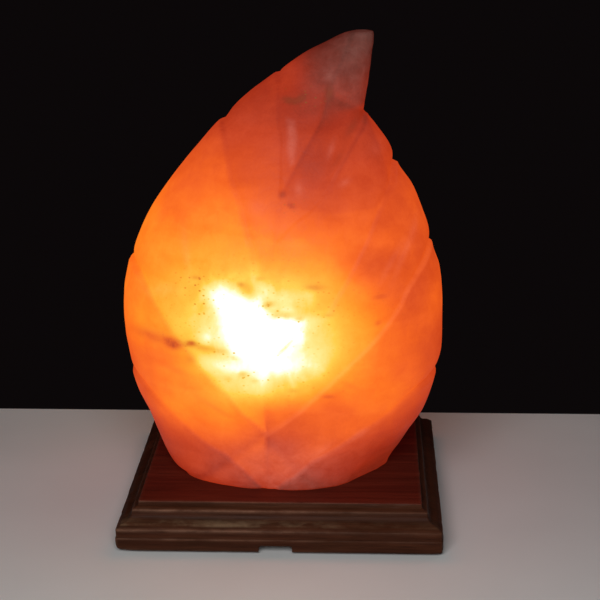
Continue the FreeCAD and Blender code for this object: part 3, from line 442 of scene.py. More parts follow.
    # rust and dark grains in the salt: x, z, radii, tilt, strength
    rust = np.zeros_like(x)
    for cx, cz, rx, rz, tilt, k_ in [
        (-50.8, 95.1, 3.6, 2.1, 0, 1.35), (-42.6, 96.2, 2.6, 1.3, 10, 1.05), (-61.0, 96.0, 11.0, 2.6, 0, 0.40),
        (-34.0, 95.4, 8.5, 1.5, -8, 0.26), (-27.0, 94.4, 3.2, 1.2, 0, 0.30), (-20.5, 91.6, 2.2, 1.0, -20, 0.45),
        (-17.0, 84.0, 2.2, 1.3, 0, 0.5), (-11.5, 81.0, 1.8, 1.0, 0, 0.35), (-24.0, 81.5, 2.0, 1.0, 0, 0.25),
        (-5.2, 117.4, 2.6, 1.3, 10, 0.55), (-1.5, 111.8, 2.0, 1.0, 0, 0.45), (3.6, 111.6, 3.2, 1.4, -10, 0.60),
        (9.2, 110.6, 2.0, 1.1, 0, 0.5), (16.6, 125.0, 4.5, 1.5, -5, 0.35), (22.5, 112.0, 3.0, 1.0, 0, 0.3),
        (46.5, 118.2, 3.4, 1.0, 0, 0.4), (45.8, 106.7, 1.6, 1.2, 0, 0.35), (-18.0, 125.6, 1.8, 1.2, 0, 0.4),
        (-39.0, 127.0, 2.4, 0.9, 0, 0.30), (22.0, 73.6, 3.4, 1.0, -5, 0.30), (6.0, 76.4, 2.6, 1.0, 0, 0.25),
        (-42.0, 88.5, 2.8, 2.4, 40, 0.25), (3.8, 207.2, 3.2, 1.2, -10, 0.55), (9.0, 207.8, 2.6, 1.4, 20, 0.5),
        (21.8, 209.9, 1.8, 3.2, 0, 0.40), (1.5, 165.8, 1.5, 1.4, 0, 0.6), (5.6, 161.0, 2.0, 0.9, -30, 0.5),
        (-9.0, 129.0, 3.0, 0.9, 0, 0.25), (33.0, 78.0, 5.0, 1.4, -30, 0.15), (-30.0, 66.0, 7.0, 1.4, -25, 0.18),
        (-50.0, 82.0, 9.0, 1.6, -12, 0.16), (33.0, 193.0, 5.0, 2.4, 50, 0.22), (28.0, 182.0, 5.0, 1.6, 60, 0.18),
    ]:
        rust += k_ * spot(cx, cz, rx, rz, tilt)
    # swarms of tiny dark grains: x, z, radii, tilt, density
    grains = 0.16 * front * step(-16, 2, warm)
    for cx, cz, rx, rz, tilt, k_ in [
        (-37.0, 119.0, 5.5, 10.0, 0, 0.75), (-33.0, 124.0, 9.0, 4.0, 0, 0.5), (-46.0, 124.0, 8.0, 5.0, 0, 0.35),
        (1.5, 112.5, 9.0, 3.2, -8, 0.95), (10.0, 110.0, 6.0, 3.0, -10, 0.8), (-4.0, 118.5, 4.0, 4.0, 0, 0.6),
        (-20.0, 92.0, 9.0, 3.2, -30, 0.85), (-15.0, 83.5, 8.0, 3.4, -10, 0.8), (-8.5, 81.0, 5.0, 4.0, 0, 0.6),
        (24.0, 112.0, 5.0, 4.0, 0, 0.5), (16.0, 125.0, 12.0, 3.5, -8, 0.35), (-40.0, 96.0, 16.0, 3.0, 0, 0.55),
        (8.0, 208.0, 12.0, 4.0, 0, 0.6), (4.0, 163.0, 7.0, 5.0, 0, 0.45), (20.0, 76.0, 16.0, 5.0, 0, 0.3),
    ]:
        grains = grains + k_ * spot(cx, cz, rx, rz, tilt)
    # the same kinds of inclusion, scattered at random over the sides and the back
    rng = np.random.default_rng(41)
    for _ in range(46):
        a, zz = rng.uniform(0.15, math.pi - 0.15), rng.uniform(34, 205)
        c0 = np.array([np.interp(zz, rim[:, 0], (rim[:, 1] + rim[:, 2]) / 2)
                       + np.interp(zz, rim[:, 0], (rim[:, 2] - rim[:, 1]) / 2) * math.cos(a),
                       np.interp(zz, rim[:, 0], rim[:, 3]) * math.sin(a), zz])
        size = rng.uniform(1.2, 5.0)
        dd = (p - c0) / np.array([size * rng.uniform(1, 2.4), size * 2.0, size * rng.uniform(0.3, 0.7)])
        e = np.exp(-(dd ** 2).sum(1)) * (1 - front)
        if rng.random() < 0.6:
            rust += rng.uniform(0.2, 0.6) * e
        else:
            glow += rng.uniform(0.03, 0.10) * e
    back = 1 - front
    rear = np.exp(-(((x + 2) / 24) ** 2) - (((z - 94) / 22) ** 2)) * step(20, 40, y)
    glow += back * (0.20 * rear + 0.10 * rear * np.clip(grain(p, 13.0, 31) + 0.4, 0, 1))
    # layers of more and less clear salt through the whole block
    clear = 0.45 + 0.55 * step(0.24, 0.46, glow)
    glow += clear * (0.022 * grain(p * np.array([0.55, 0.55, 1.0]), 16.0, 33) + 0.018 * grain(p, 8.0, 34))
    # milky salt: the tip's right edge, streaks, and the foot
    milk = np.zeros_like(x)
    tip = polygon(wx, wz, [(-6, 218), (-0.9, 216.5), (9, 207), (20, 211), (33, 204), (50, 200), (50, 245), (0, 245)])
    edge = step(20, 37, x) * step(200.0, 203.5, z)
    milk += 0.040 * step(-3.0, 5.0, tip) * step(4.0, 22.0, x) + 0.065 * edge
    glow -= 0.010 * step(-3.0, 5.0, tip) * step(4.0, 20.0, x) + 0.035 * edge * step(214, 203, z)
    milk += front * 0.13 * step(-1.0, 2.4, polygon(wx, wz, [(2.0, 199.5), (6.6, 198.0), (8.0, 190.0), (7.0, 179.0),
                                                            (4.6, 177.8), (2.2, 186.0)]))
    milk += 0.15 * step(62.0, 34.0, z) * np.exp(-(((x + 2) / 32.0) ** 2))
    glow -= 0.015 * step(50.0, 34.0, z) * np.exp(-(((x + 2) / 30.0) ** 2))
    milk += 0.03 * spot(12.0, 27.5, 15.0, 5.0, 5)
    for cx, cz, rx, rz, tilt, k_ in [
        (-44.0, 138.0, 1.8, 10.0, 8, 0.07), (60.0, 140.0, 1.8, 14.0, -25, 0.10), (52.0, 133.0, 1.6, 9.0, -30, 0.08),
        (-56.0, 119.0, 9.0, 3.0, 10, 0.08), (30.0, 170.0, 3.0, 1.5, 30, 0.10), (24.0, 186.0, 1.5, 4.0, -20, 0.10),
        (45.0, 183.0, 3.0, 3.0, 0, 0.05), (9.0, 168.0, 2.0, 3.0, 0, 0.10), (38.0, 52.0, 4.0, 2.0, 40, 0.07),
        (20.0, 44.0, 6.0, 1.8, 38, 0.08), (-10.0, 160.0, 5.0, 3.0, 0, 0.06), (22.0, 217.0, 2.4, 3.0, 0, 0.12),
    ]:
        milk += k_ * spot(cx, cz, rx, rz, tilt)
    milk += 0.008 + 0.016 * grain(p, 19.0, 51)
    lipline = np.zeros_like(x)
    for side, d_rim, d_in, lip, drop, reach, light, fade, pts in VEINS:
        if light > 0:
            s, along, past = polyline(wx, wz, pts, side)
            own = (on_left if side < 0 else 1 - on_left) * np.exp(-((past / 3.0) ** 2))
            lipline += own * light / 0.038 * np.exp(-(((s - 1.2) / 0.9) ** 2))
    milk += 0.035 * lipline
    glow = np.clip(glow, 0.0, 1.3)
    rust = np.clip(rust, 0.0, 1.0)
    milk = np.clip(milk, 0.0, 1.0)

    # ---------------- bore and closing faces
    verts = [q]
    nu = shape[1]
    nv = shape[0]
    faces = []
    idx = np.arange(nu)
    nxt = (idx + 1) % nu
    for j in range(nv - 1):
        a, b = j * nu, (j + 1) * nu
        faces.extend(np.stack([a + idx, a + nxt, b + nxt, b + idx], 1).tolist())
    top0 = (nv - 1) * nu
    count = nv * nu
    crown = q[top0:top0 + nu]
    centre = crown.mean(0)
    inner = centre + (crown - centre) * 0.45
    inner[:, 2] = 236.48
    verts.append(inner)
    faces.extend(np.stack([top0 + idx, top0 + nxt, count + nxt, count + idx], 1).tolist())
    verts.append(np.array([[centre[0], centre[1], 236.49]]))
    apex = count + nu
    faces.extend(np.stack([count + idx, count + nxt, np.full(nu, apex)], 1).tolist())
    count += nu + 1
    extra = [np.full(nu + 1, glow[top0:].mean())]
    # underside, then up the bore's wall to its rounded end
    bore = [(25.0, 22.66), (24.98, 26.0)] + [(25.0, v) for v in np.linspace(34, 120.2, 10)]
    bore += [(13.0 + 12.0 * math.cos(t), 120.2 + 12.0 * math.sin(t)) for t in np.linspace(0.2, math.pi / 2, 7)]
    bore += [(7.0, 132.2), (2.0, 132.2)]
    foot_ring = q[:nu]
    a0 = np.arctan2(foot_ring[:, 1], foot_ring[:, 0] + 4.0)
    prev = 0
    rings = []
    for t in (0.25, 0.5, 0.75):
        ring = foot_ring.copy()
        tgt = np.stack([-4 + 25 * np.cos(a0), 25 * np.sin(a0), np.full(nu, 22.66)], 1)
        rings.append(ring * (1 - t) + tgt * t)
    for rr, zz in bore:
        jitter = 0.12 * grain(np.stack([rr * np.cos(a0), rr * np.sin(a0), np.full(nu, zz)], 1), 6.0, 61)
        rings.append(np.stack([-4 + (rr + jitter) * np.cos(a0), (rr + jitter) * np.sin(a0), np.full(nu, zz)], 1))
    for ring in rings:
        verts.append(ring)
        faces.extend(np.stack([prev + nxt, prev + idx, count + idx, count + nxt], 1).tolist())
        deep = np.clip((ring[:, 2] - 22.0) / 50.0, 0, 1)
        extra.append(0.35 + 0.6 * deep)
        prev = count
        count += nu
    verts.append(np.array([[-4.0, 0.0, 132.2]]))
    extra.append(np.array([0.95]))
    faces.extend(np.stack([prev + nxt, prev + idx, np.full(nu, count)], 1).tolist())
    V = np.concatenate(verts) * MM
    rest = len(V) - len(glow)
    att = {
        "glow": np.concatenate([glow, np.concatenate(extra)]),
        "rust": np.concatenate([rust, np.zeros(rest)]),
        "milk": np.concatenate([milk, np.full(rest, 0.3)]),
        "grains": np.concatenate([np.clip(grains, 0, 1), np.zeros(rest)]),
        "ragged": np.concatenate([ragged, np.zeros(rest)]),
    }
    return mesh_object("carved_salt_leaf", V, faces, True, att)


def salt_material():
    m, nt, b = new_material("salt_crystal")
    co = coords(nt)
    flat = coords(nt, scale=(0.55, 0.55, 1.6))
    glow, rust, milk = attribute(nt, "glow"), attribute(nt, "rust"), attribute(nt, "milk")
    n_big = noise(nt, flat, 62.0, 3.0, 0.5, 0.6)
    n_mid = noise(nt, co, 170.0, 4.0, 0.6, 0.4)
    n_fine = noise(nt, co, 900.0, 3.0, 0.6)
    # fine dark grains, thicker in the warm zone
    cells = node(nt, "ShaderNodeTexVoronoi", {"Vector": coords(nt, scale=(1.0, 1.0, 1.5)), "Scale": 430.0})
    dots = remap(nt, cells.outputs["Distance"], 0.10, 0.34, 1.0, 0.0)
    few = remap(nt, node(nt, "ShaderNodeSeparateColor", {"Color": cells.outputs["Color"]}).outputs[0], 0.62, 0.80)
    specks = op(nt, "MULTIPLY", op(nt, "MULTIPLY", dots, few), attribute(nt, "grains"))
    # the darker salt is the more even one
    uneven = remap(nt, glow, 0.22, 0.50, 0.030, 0.080)
    t = op(nt, "MULTIPLY_ADD", op(nt, "SUBTRACT", n_big, 0.5), uneven, glow)
    t = op(nt, "MULTIPLY_ADD", op(nt, "SUBTRACT", n_mid, 0.5), uneven, t)
    t = op(nt, "MULTIPLY_ADD", op(nt, "SUBTRACT", n_fine, 0.5), 0.030, t)
    # flame-like flaws round the hottest part, lying down to the right
    lean = node(nt, "ShaderNodeMapping", {"Vector": co, "Rotation": (0.0, 0.55, 0.0), "Scale": (1.2, 0.5, 0.85)})
    flaws = noise(nt, lean.outputs[0], 80.0, 3.0, 0.50, 0.4)
    t = op(nt, "MULTIPLY_ADD", op(nt, "MULTIPLY", op(nt, "SUBTRACT", flaws, 0.51), attribute(nt, "ragged")), 0.36, t)
    broken = remap(nt, n_mid, 0.30, 0.62, 0.55, 1.15)
    rusty = op(nt, "MULTIPLY", rust, broken)
    t = op(nt, "MULTIPLY_ADD", rusty, -0.17, t)
    # the grains are cut out of the light, so they show even against the white
    t = op(nt, "MULTIPLY", t, op(nt, "MULTIPLY_ADD", specks, -0.30, 1.0))
    t01 = op(nt, "MULTIPLY", t, 0.75)
    light = ramp(nt, t01, [
        (0.0000, (0.000, 0.000, 0.000)),
        (0.0750, (0.050, 0.003, 0.001)),
        (0.1200, (0.170, 0.012, 0.004)),
        (0.1575, (0.350, 0.023, 0.006)),
        (0.2025, (0.540, 0.045, 0.008)),
        (0.2475, (0.700, 0.075, 0.009)),
        (0.2925, (0.870, 0.115, 0.009)),
        (0.3525, (1.000, 0.175, 0.009)),
        (0.4275, (1.000, 0.280, 0.012)),
        (0.4800, (1.000, 0.360, 0.018)),
        (0.5600, (1.000, 0.510, 0.042)),
        (0.6000, (1.000, 0.610, 0.062)),
        (0.6975, (1.000, 0.860, 0.300)),
        (0.7500, (1.000, 0.970, 0.620)),
        (0.8100, (1.000, 0.985, 0.850)),
    ])
    # rust takes the green out before the red
    # and shows golden where the light behind it is strongest
    stain = mix(nt, remap(nt, t, 0.72, 0.98), (0.46, 0.060, 0.016), (0.88, 0.56, 0.045))
    light = mix(nt, op(nt, "MULTIPLY", rusty, 0.75), light, stain)
    light = mix(nt, op(nt, "MULTIPLY", specks, 0.55), light, (0.34, 0.200, 0.020))
    power = ramp(nt, t01, [(0.0, (1, 1, 1)), (0.72, (1.0, 1.0, 1.0)), (0.82, (1.4, 1.4, 1.4)),
                           (0.92, (2.6, 2.6, 2.6)), (1.0, (4.0, 4.0, 4.0))])
    put(nt, b.inputs["Emission Color"], light)
    put(nt, b.inputs["Emission Strength"], power)
    body = mix(nt, remap(nt, n_big, 0.3, 0.7), (0.048, 0.013, 0.009), (0.080, 0.024, 0.017))
    pale = mix(nt, remap(nt, n_mid, 0.3, 0.7), (0.60, 0.40, 0.34), (0.74, 0.54, 0.47))
    body = mix(nt, op(nt, "MULTIPLY", milk, remap(nt, n_mid, 0.25, 0.6, 0.6, 1.0)), body, pale)
    body = mix(nt, rusty, body, (0.08, 0.020, 0.010))
    put(nt, b.inputs["Base Color"], body)
    put(nt, b.inputs["Roughness"], remap(nt, n_mid, 0.3, 0.7, 0.42, 0.62))
    b.inputs["IOR"].default_value = 1.54
    b.inputs["Specular IOR Level"].default_value = 0.10
    h = op(nt, "MULTIPLY_ADD", n_fine, 0.35, op(nt, "MULTIPLY", n_mid, 1.0))
    put(nt, b.inputs["Normal"], bump(nt, h, 0.40, 0.0006))
    return m


leaf = build_leaf()
leaf.data.materials.append(salt_material())
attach(leaf, "lamp_base")
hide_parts("salt_leaf")

# ------------------------------------------------------------------ the wood plinth


def arc(p0, p1, r, side, n):
    """Points from p0 to p1 round an arc of radius r whose centre is left (+1) or right (-1)."""
    (x0, y0), (x1, y1) = p0, p1
    dx, dy = x1 - x0, y1 - y0
    hf = math.hypot(dx, dy) / 2
    rise = math.sqrt(max(r * r - hf * hf, 0.0))
    cx = (x0 + x1) / 2 - side * rise * dy / (2 * hf)
    cy = (y0 + y1) / 2 + side * rise * dx / (2 * hf)
    a0, a1 = math.atan2(y0 - cy, x0 - cx), math.atan2(y1 - cy, x1 - cx)
    if side > 0 and a1 < a0:
        a1 += 2 * math.pi
    if side < 0 and a1 > a0:
        a1 -= 2 * math.pi
    return [(cx + r * math.cos(a0 + (a1 - a0) * k / n), cy + r * math.sin(a0 + (a1 - a0) * k / n))
            for k in range(1, n + 1)]


def run(p0, p1, n):
    return [(p0[0] + (p1[0] - p0[0]) * k / n, p0[1] + (p1[1] - p0[1]) * k / n) for k in range(1, n + 1)]


def build_plinth():
    # the moulding's section, as (distance in from the slab's face, height above the underside)
    def o(pts):
        return [(-a, b) for a, b in pts]

    sec = [(-1.4, 0.0)]
    sec += arc((-1.4, 0.0), (0.0, 1.4), 1.4, 1, 5)
    sec += run((0, 1.4), (0, 6.2), 6)
    sec += [(-0.08, 6.42), (-0.42, 6.62), (-0.35, 6.95)]
    sec += run((-0.35, 6.95), (-0.35, 10.3), 5)
    sec += arc((-0.35, 10.3), (-0.95, 10.92), 0.62, 1, 4)
    sec += arc((-0.95, 10.92), (-4.6, 13.0), 8.0, 1, 9)
    sec += arc((-4.6, 13.0), (-7.25, 15.8), 4.2, -1, 8)
    sec += run((-7.25, 15.8), (-7.55, 17.6), 3)
    sec += arc((-7.55, 17.6), (-8.0, 18.07), 0.5, 1, 4)
    sec += run((-8.0, 18.07), (-9.9, 19.15), 4)
    sec += [(-10.1, 19.35)]
    sec += run((-10.1, 19.35), (-10.22, 20.95), 4)
    sec += arc((-10.22, 20.95), (-10.72, 21.43), 0.5, 1, 4)
    for v in (12.0, 14.5, 18.0, 23.0, 29.0, 36.0, 44.0, 53.0, 63.0, 71.0, 76.4):
        sec.append((-v, 21.43))
    sec = [(-a, b) for a, b in sec]
    under = [(v, 0.0) for v in (76.4, 70.0, 60.0, 48.0, 36.0, 26.0, 18.0, 11.0, 6.0, 3.0)]
    sec = under + sec
    half = 77.5
    per = 70

    def ring(h, rho):
        pts = []
        for kx, ky, ax, ay in ((1, -1, 0, 1), (1, 1, -1, 0), (-1, 1, 0, -1), (-1, -1, 1, 0)):
            c = (kx * (h - rho), ky * (h - rho))
            base = math.atan2(ky, kx) - math.pi / 4
            for k in range(6):
                t = base + (math.pi / 2) * k / 5
                pts.append((c[0] + rho * math.cos(t), c[1] + rho * math.sin(t)))
            ln = 2 * (h - rho)
            for k in range(1, per):
                t = k / per
                # closer together towards the corners
                t = 0.5 - 0.5 * math.cos(math.pi * t) * (0.35 + 0.65 * abs(math.cos(math.pi * t)) ** 0.0)
                pts.append((c[0] + rho * math.cos(base + math.pi / 2) + ax * ln * t,
                            c[1] + rho * math.sin(base + math.pi / 2) + ay * ln * t))
        return pts

    verts, insets = [], []
    for inset, zz in sec:
        h = half - inset
        rho = min(0.9 if zz < 12 else 0.55, h * 0.4)
        for px, py in ring(h, rho):
            verts.append((px, py, zz + 1.2))
            insets.append(inset)
    n = len(ring(50, 0.5))
    faces = []
    for j in range(len(sec) - 1):
        for i in range(n):
            k = (i + 1) % n
            faces.append((j * n + i, j * n + k, (j + 1) * n + k, (j + 1) * n + i))
    verts = np.array(verts)
    last = (len(sec) - 1) * n
    verts = np.concatenate([verts, [[0, 0, 1.2], [0, 0, 22.63]]])
    lo, hi = len(verts) - 2, len(verts) - 1
    for i in range(n):
        k = (i + 1) % n
        faces.append((k, i, lo))
        faces.append((last + i, last + k, hi))
    # worn, slightly uneven edges: always inwards, so the plinth keeps its size
    v = verts
    r_in = np.stack([-np.sign(v[:, 0]) * (np.abs(v[:, 0]) > 60), -np.sign(v[:, 1]) * (np.abs(v[:, 1]) > 60),
                     np.zeros(len(v))], 1)
    wob = 0.5 + 0.5 * grain(v, 17.0, 71)
    dents = np.clip(grain(v * np.array([1, 1, 2.0]), 4.5, 72) - 0.45, 0, 1)
    v = v + r_in * (0.14 * wob + 0.55 * dents)[:, None]
    # the front left corner of the slab is rounded over and tucks under
    near = np.exp(-((np.hypot(v[:, 0] + 77.5, v[:, 1] + 77.5) / 4.0) ** 2)) * step(13.0, 8.0, v[:, 2])
    v = v + np.stack([near * 0.2, near * 0.3, np.zeros(len(v))], 1)
    near = np.exp(-((np.hypot(v[:, 0] + 77.5, v[:, 1] + 77.5) / 6.0) ** 2)) * np.clip((5.0 - v[:, 2]) / 3.8, 0, 1) ** 2
    v = v + np.stack([near * 1.5, near * 0.8, np.zeros(len(v))], 1)
    near = np.exp(-((np.hypot(v[:, 0] - 77.5, v[:, 1] + 77.5) / 4.0) ** 2)) * step(14.0, 3.0, v[:, 2])
    v = v + np.stack([-near * 0.6, near * 0.5, np.zeros(len(v))], 1)
    v[:, 0:2] = np.clip(v[:, 0:2], -77.48, 77.48)
    board = mesh_object("moulded_plinth", v * MM, faces, False)

    # bore, cord channel and screw holes are cut as on the real board
    def prism(name, outline, z0, z1, axis="z"):
        k = len(outline)
        if axis == "z":
            a = [(px, py, z0) for px, py in outline] + [(px, py, z1) for px, py in outline]
        else:
            a = [(px, z0, py) for px, py in outline] + [(px, z1, py) for px, py in outline]
        f = [tuple(range(k))[::-1], tuple(range(k, 2 * k))]
        f += [(i, (i + 1) % k, k + (i + 1) % k, k + i) for i in range(k)]
        ob = mesh_object(name, np.array(a) * MM, f, False)
        return ob

    def disc(cx, cy, r, n_=64):
        return [(cx + r * math.cos(2 * math.pi * k / n_), cy + r * math.sin(2 * math.pi * k / n_)) for k in range(n_)]

    cutters = [prism("cut_bore", disc(-4, 0, 25.0, 96), -2, 30)]
    cl, cr, cd = -1.6 - 7.9, -1.6 + 7.9, 3.5 + 1.2
    chan = [(cl, -2.0), (cr, -2.0), (cr, cd - 1.3)] + arc((cr, cd - 1.3), (cr - 1.3, cd), 1.3, 1, 6)
    chan += [(cl + 1.3, cd)] + arc((cl + 1.3, cd), (cl, cd - 1.3), 1.3, 1, 6)
    cutters.append(prism("cut_channel", chan, -90, 90, "y"))
    for k in range(3):
        t = 2 * math.pi * k / 3
        cutters.append(prism("cut_sink_%d" % k, disc(38 * math.cos(t), 38 * math.sin(t), 5.5, 40), -2, 1.2 + 5.2))
        cutters.append(prism("cut_hole_%d" % k, disc(38 * math.cos(t), 38 * math.sin(t), 2.4, 28), -2, 30))
    import bmesh
    for c in cutters:
        bm = bmesh.new()
        bm.from_mesh(c.data)
        bmesh.ops.recalc_face_normals(bm, faces=bm.faces)
        bm.to_mesh(c.data)
        bm.free()
    bm = bmesh.new()
    bm.from_mesh(board.data)
    bmesh.ops.recalc_face_normals(bm, faces=bm.faces)
    bm.to_mesh(board.data)
    bm.free()
    for c in cutters:
        md = board.modifiers.new(c.name, "BOOLEAN")
        md.operation, md.solver, md.object = "DIFFERENCE", "EXACT", c
    bpy.context.view_layer.update()
    dg = bpy.context.evaluated_depsgraph_get()
    done = bpy.data.meshes.new_from_object(board.evaluated_get(dg))
    board.modifiers.clear()
    old = board.data
    board.data = done
    bpy.data.meshes.remove(old)
    for c in cutters:
        me = c.data
        bpy.data.objects.remove(c)
        bpy.data.meshes.remove(me)
    # wear along the arrises, with a painted highlight on the same lines, from each point's place on the section
    co = np.zeros(len(done.vertices) * 3)
    done.vertices.foreach_get("co", co)
    co = co.reshape(-1, 3) / MM
    inset = 77.5 - np.maximum(np.abs(co[:, 0]), np.abs(co[:, 1]))
    rise = co[:, 2] - 1.2
    wear_and_highlight = np.zeros(len(co))
    for a, b, w, k in ((0.1, 6.25, 0.55, 0.30), (0.55, 10.75, 0.95, 0.48), (7.7, 17.85, 0.80, 0.85),
                       (10.4, 21.3, 0.6, 0.45), (0.3, 0.3, 1.0, 0.20)):
        wear_and_highlight = np.maximum(wear_and_highlight, k * np.exp(-((np.hypot(inset - a, rise - b) / w) ** 2)))
    # dusty, rubbed hollow of the cove; its pale marks are partly real dust and partly a painted sheen of reflected
    # light
    dust_and_sheen = np.exp(-(((rise - 12.5) / 1.25) ** 2)) * step(9.5, 7.0, inset) * step(1.6, 3.0, inset)
    corner = np.minimum(np.abs(co[:, 0]), np.abs(co[:, 1]))
    # a pale line down the corners: wear and a painted highlight
    wear_and_highlight = np.maximum(wear_and_highlight, 0.25 * step(75.6, 77.2, corner) * step(13, 10, rise))
    # the pale marks are stronger towards the front's left end; off the front, on the sides and back, they are cut back,
    # a painted shade of the darker sides
    left_end_weight = step(48.0, -10.0, co[:, 0] + 6.0 * grain(co, 30.0, 77)) * step(-60, -76, co[:, 1])
    off_front_shade = step(-76, -60, co[:, 1])
    wear_and_highlight *= 0.28 + 0.72 * left_end_weight - 0.12 * off_front_shade * (rise < 20)
    dust_and_sheen *= 0.28 + 0.92 * left_end_weight - 0.20 * off_front_shade
    for key, val in (("wear_and_highlight", wear_and_highlight), ("dust_and_sheen", dust_and_sheen)):
        at = done.attributes.new(key, "FLOAT", "POINT")
        at.data.foreach_set("value", val.astype(np.float32))
    done.polygons.foreach_set("use_smooth", [True] * len(done.polygons))
    done.set_sharp_from_angle(angle=math.radians(40))
    return board


def wood_material():
    m, nt, b = new_material("stained_wood")
    # fibres run left to right
    fib = noise(nt, coords(nt, scale=(22, 420, 420)), 1.0, 5.0, 0.6, 0.3)
    pores = noise(nt, coords(nt, scale=(60, 1500, 1500)), 1.0, 3.0, 0.6)
    bands = noise(nt, coords(nt, scale=(5, 60, 60)), 1.0, 3.0, 0.5, 1.2)
    blot = noise(nt, coords(nt), 45.0, 3.0, 0.6)
    streak = op(nt, "MULTIPLY_ADD", op(nt, "SUBTRACT", bands, 0.5), 0.8, fib)
    base = ramp(nt, streak, [
        (0.25, (0.026, 0.0080, 0.0038)), (0.45, (0.038, 0.0115, 0.0053)), (0.60, (0.054, 0.0165, 0.0075)),
        (0.80, (0.074, 0.0240, 0.0115))])
    # the flat top is painted redder than the moulding: a painted red glow from the lit salt leaf above it
    lamp_lit_top = ramp(nt, streak, [
        (0.25, (0.064, 0.0098, 0.0060)), (0.45, (0.084, 0.0125, 0.0074)), (0.60, (0.106, 0.0165, 0.0092)),
        (0.80, (0.130, 0.0225, 0.0125))])
    level = node(nt, "ShaderNodeSeparateXYZ", {"Vector": coords(nt)}).outputs["Z"]
    base = mix(nt, remap(nt, level, 0.02215, 0.02245), base, lamp_lit_top)
    base = mix(nt, remap(nt, pores, 0.30, 0.42, 0.55, 0.0), base, (0.014, 0.0045, 0.0030))
    base = mix(nt, remap(nt, blot, 0.35, 0.75, 0.0, 0.25), base, (0.075, 0.0180, 0.0090))
    wear_and_highlight, dust_and_sheen = attribute(nt, "wear_and_highlight"), attribute(nt, "dust_and_sheen")
    # pale marks on the arrises: rubbed wear plus a painted highlight along the edges
    edge_patch_noise = noise(nt, coords(nt, scale=(70, 160, 160)), 1.0, 5.0, 0.65)
    w = op(nt, "MULTIPLY", wear_and_highlight, remap(nt, edge_patch_noise, 0.38, 0.62, 0.25, 1.0))
    base = mix(nt, w, base, (0.30, 0.150, 0.095))
    # pale dusty marks in the cove, partly a painted sheen
    d = op(nt, "MULTIPLY", dust_and_sheen, remap(nt, noise(nt, coords(nt, scale=(60, 110, 110)), 1.0, 5.0, 0.7), 0.42, 0.66, 0.10, 0.75))
    base = mix(nt, d, base, (0.185, 0.120, 0.070))
    put(nt, b.inputs["Base Color"], base)
    rough = op(nt, "MULTIPLY_ADD", w, 0.2, remap(nt, fib, 0.3, 0.7, 0.36, 0.52))
    put(nt, b.inputs["Roughness"], op(nt, "MULTIPLY_ADD", d, 0.25, rough))
    b.inputs["IOR"].default_value = 1.45
    b.inputs["Specular IOR Level"].default_value = 0.06
    hh = op(nt, "MULTIPLY_ADD", pores, 0.5, fib)
    put(nt, b.inputs["Normal"], bump(nt, hh, 0.35, 0.0006))
    return m


plinth = build_plinth()
plinth.data.materials.clear()
plinth.data.materials.append(wood_material())
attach(plinth, "lamp_base")
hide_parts("wood_plinth")

# ------------------------------------------------------------------ finishes of the carried-over parts


def metal(name, tone, deep, rough=(0.22, 0.42), brushed=(1, 1, 1), scale=300.0, tarnish=(0.5, 0.7), coat=None):
    m, nt, b = new_material(name)
    a = noise(nt, coords(nt, scale=brushed), scale, 4.0, 0.6)
    c = noise(nt, coords(nt), 120.0, 3.0, 0.6)
    put(nt, b.inputs["Base Color"], mix(nt, remap(nt, c, tarnish[0], tarnish[1]), tone, deep))
    b.inputs["Metallic"].default_value = 1.0
    put(nt, b.inputs["Roughness"], remap(nt, a, 0.3, 0.7, rough[0], rough[1]))
    put(nt, b.inputs["Normal"], bump(nt, a, 0.12, 0.0002))
    return m


def matt(name, tone, deep, rough=(0.45, 0.6), scale=400.0, grit=0.15, mottling=90.0, spec=0.5):
    m, nt, b = new_material(name)
    a = noise(nt, coords(nt), scale, 4.0, 0.6)
    c = noise(nt, coords(nt), mottling, 3.0, 0.55)
    put(nt, b.inputs["Base Color"], mix(nt, remap(nt, c, 0.35, 0.7), tone, deep))
    put(nt, b.inputs["Roughness"], remap(nt, a, 0.3, 0.7, rough[0], rough[1]))
    b.inputs["Specular IOR Level"].default_value = spec
    put(nt, b.inputs["Normal"], bump(nt, a, grit, 0.0003))
    return m


def glass_material():
    m, nt, b = new_material("clear_glass")
    a = noise(nt, coords(nt), 90.0, 2.0, 0.5)
    b.inputs["Base Color"].default_value = (0.97, 0.97, 0.95, 1.0)
    b.inputs["Transmission Weight"].default_value = 1.0
    b.inputs["IOR"].default_value = 1.5
    put(nt, b.inputs["Roughness"], remap(nt, a, 0.3, 0.7, 0.01, 0.05))
    return m


def tungsten_material():
    m, nt, b = new_material("tungsten")
    a = noise(nt, coords(nt, scale=(9, 1, 1)), 260.0, 2.0, 0.5)
    put(nt, b.inputs["Base Color"], mix(nt, a, (0.35, 0.33, 0.31), (0.6, 0.55, 0.5)))
    put(nt, b.inputs["Emission Color"], mix(nt, a, (1.0, 0.62, 0.28), (1.0, 0.78, 0.48)))
    b.inputs["Emission Strength"].default_value = 12.0
    b.inputs["Metallic"].default_value = 1.0
    put(nt, b.inputs["Roughness"], remap(nt, a, 0.3, 0.7, 0.3, 0.5))
    return m


def felt_material():
    m, nt, b = new_material("black_felt")
    a = noise(nt, coords(nt), 2600.0, 4.0, 0.8)
    c = noise(nt, coords(nt, scale=(1, 1, 3)), 700.0, 4.0, 0.7)
    put(nt, b.inputs["Base Color"], mix(nt, c, (0.012, 0.012, 0.013), (0.05, 0.048, 0.046)))
    put(nt, b.inputs["Roughness"], remap(nt, a, 0.3, 0.7, 0.85, 1.0))
    b.inputs["Sheen Weight"].default_value = 0.35
    b.inputs["Specular IOR Level"].default_value = 0.15
    put(nt, b.inputs["Normal"], bump(nt, a, 0.6, 0.0004))
    return m


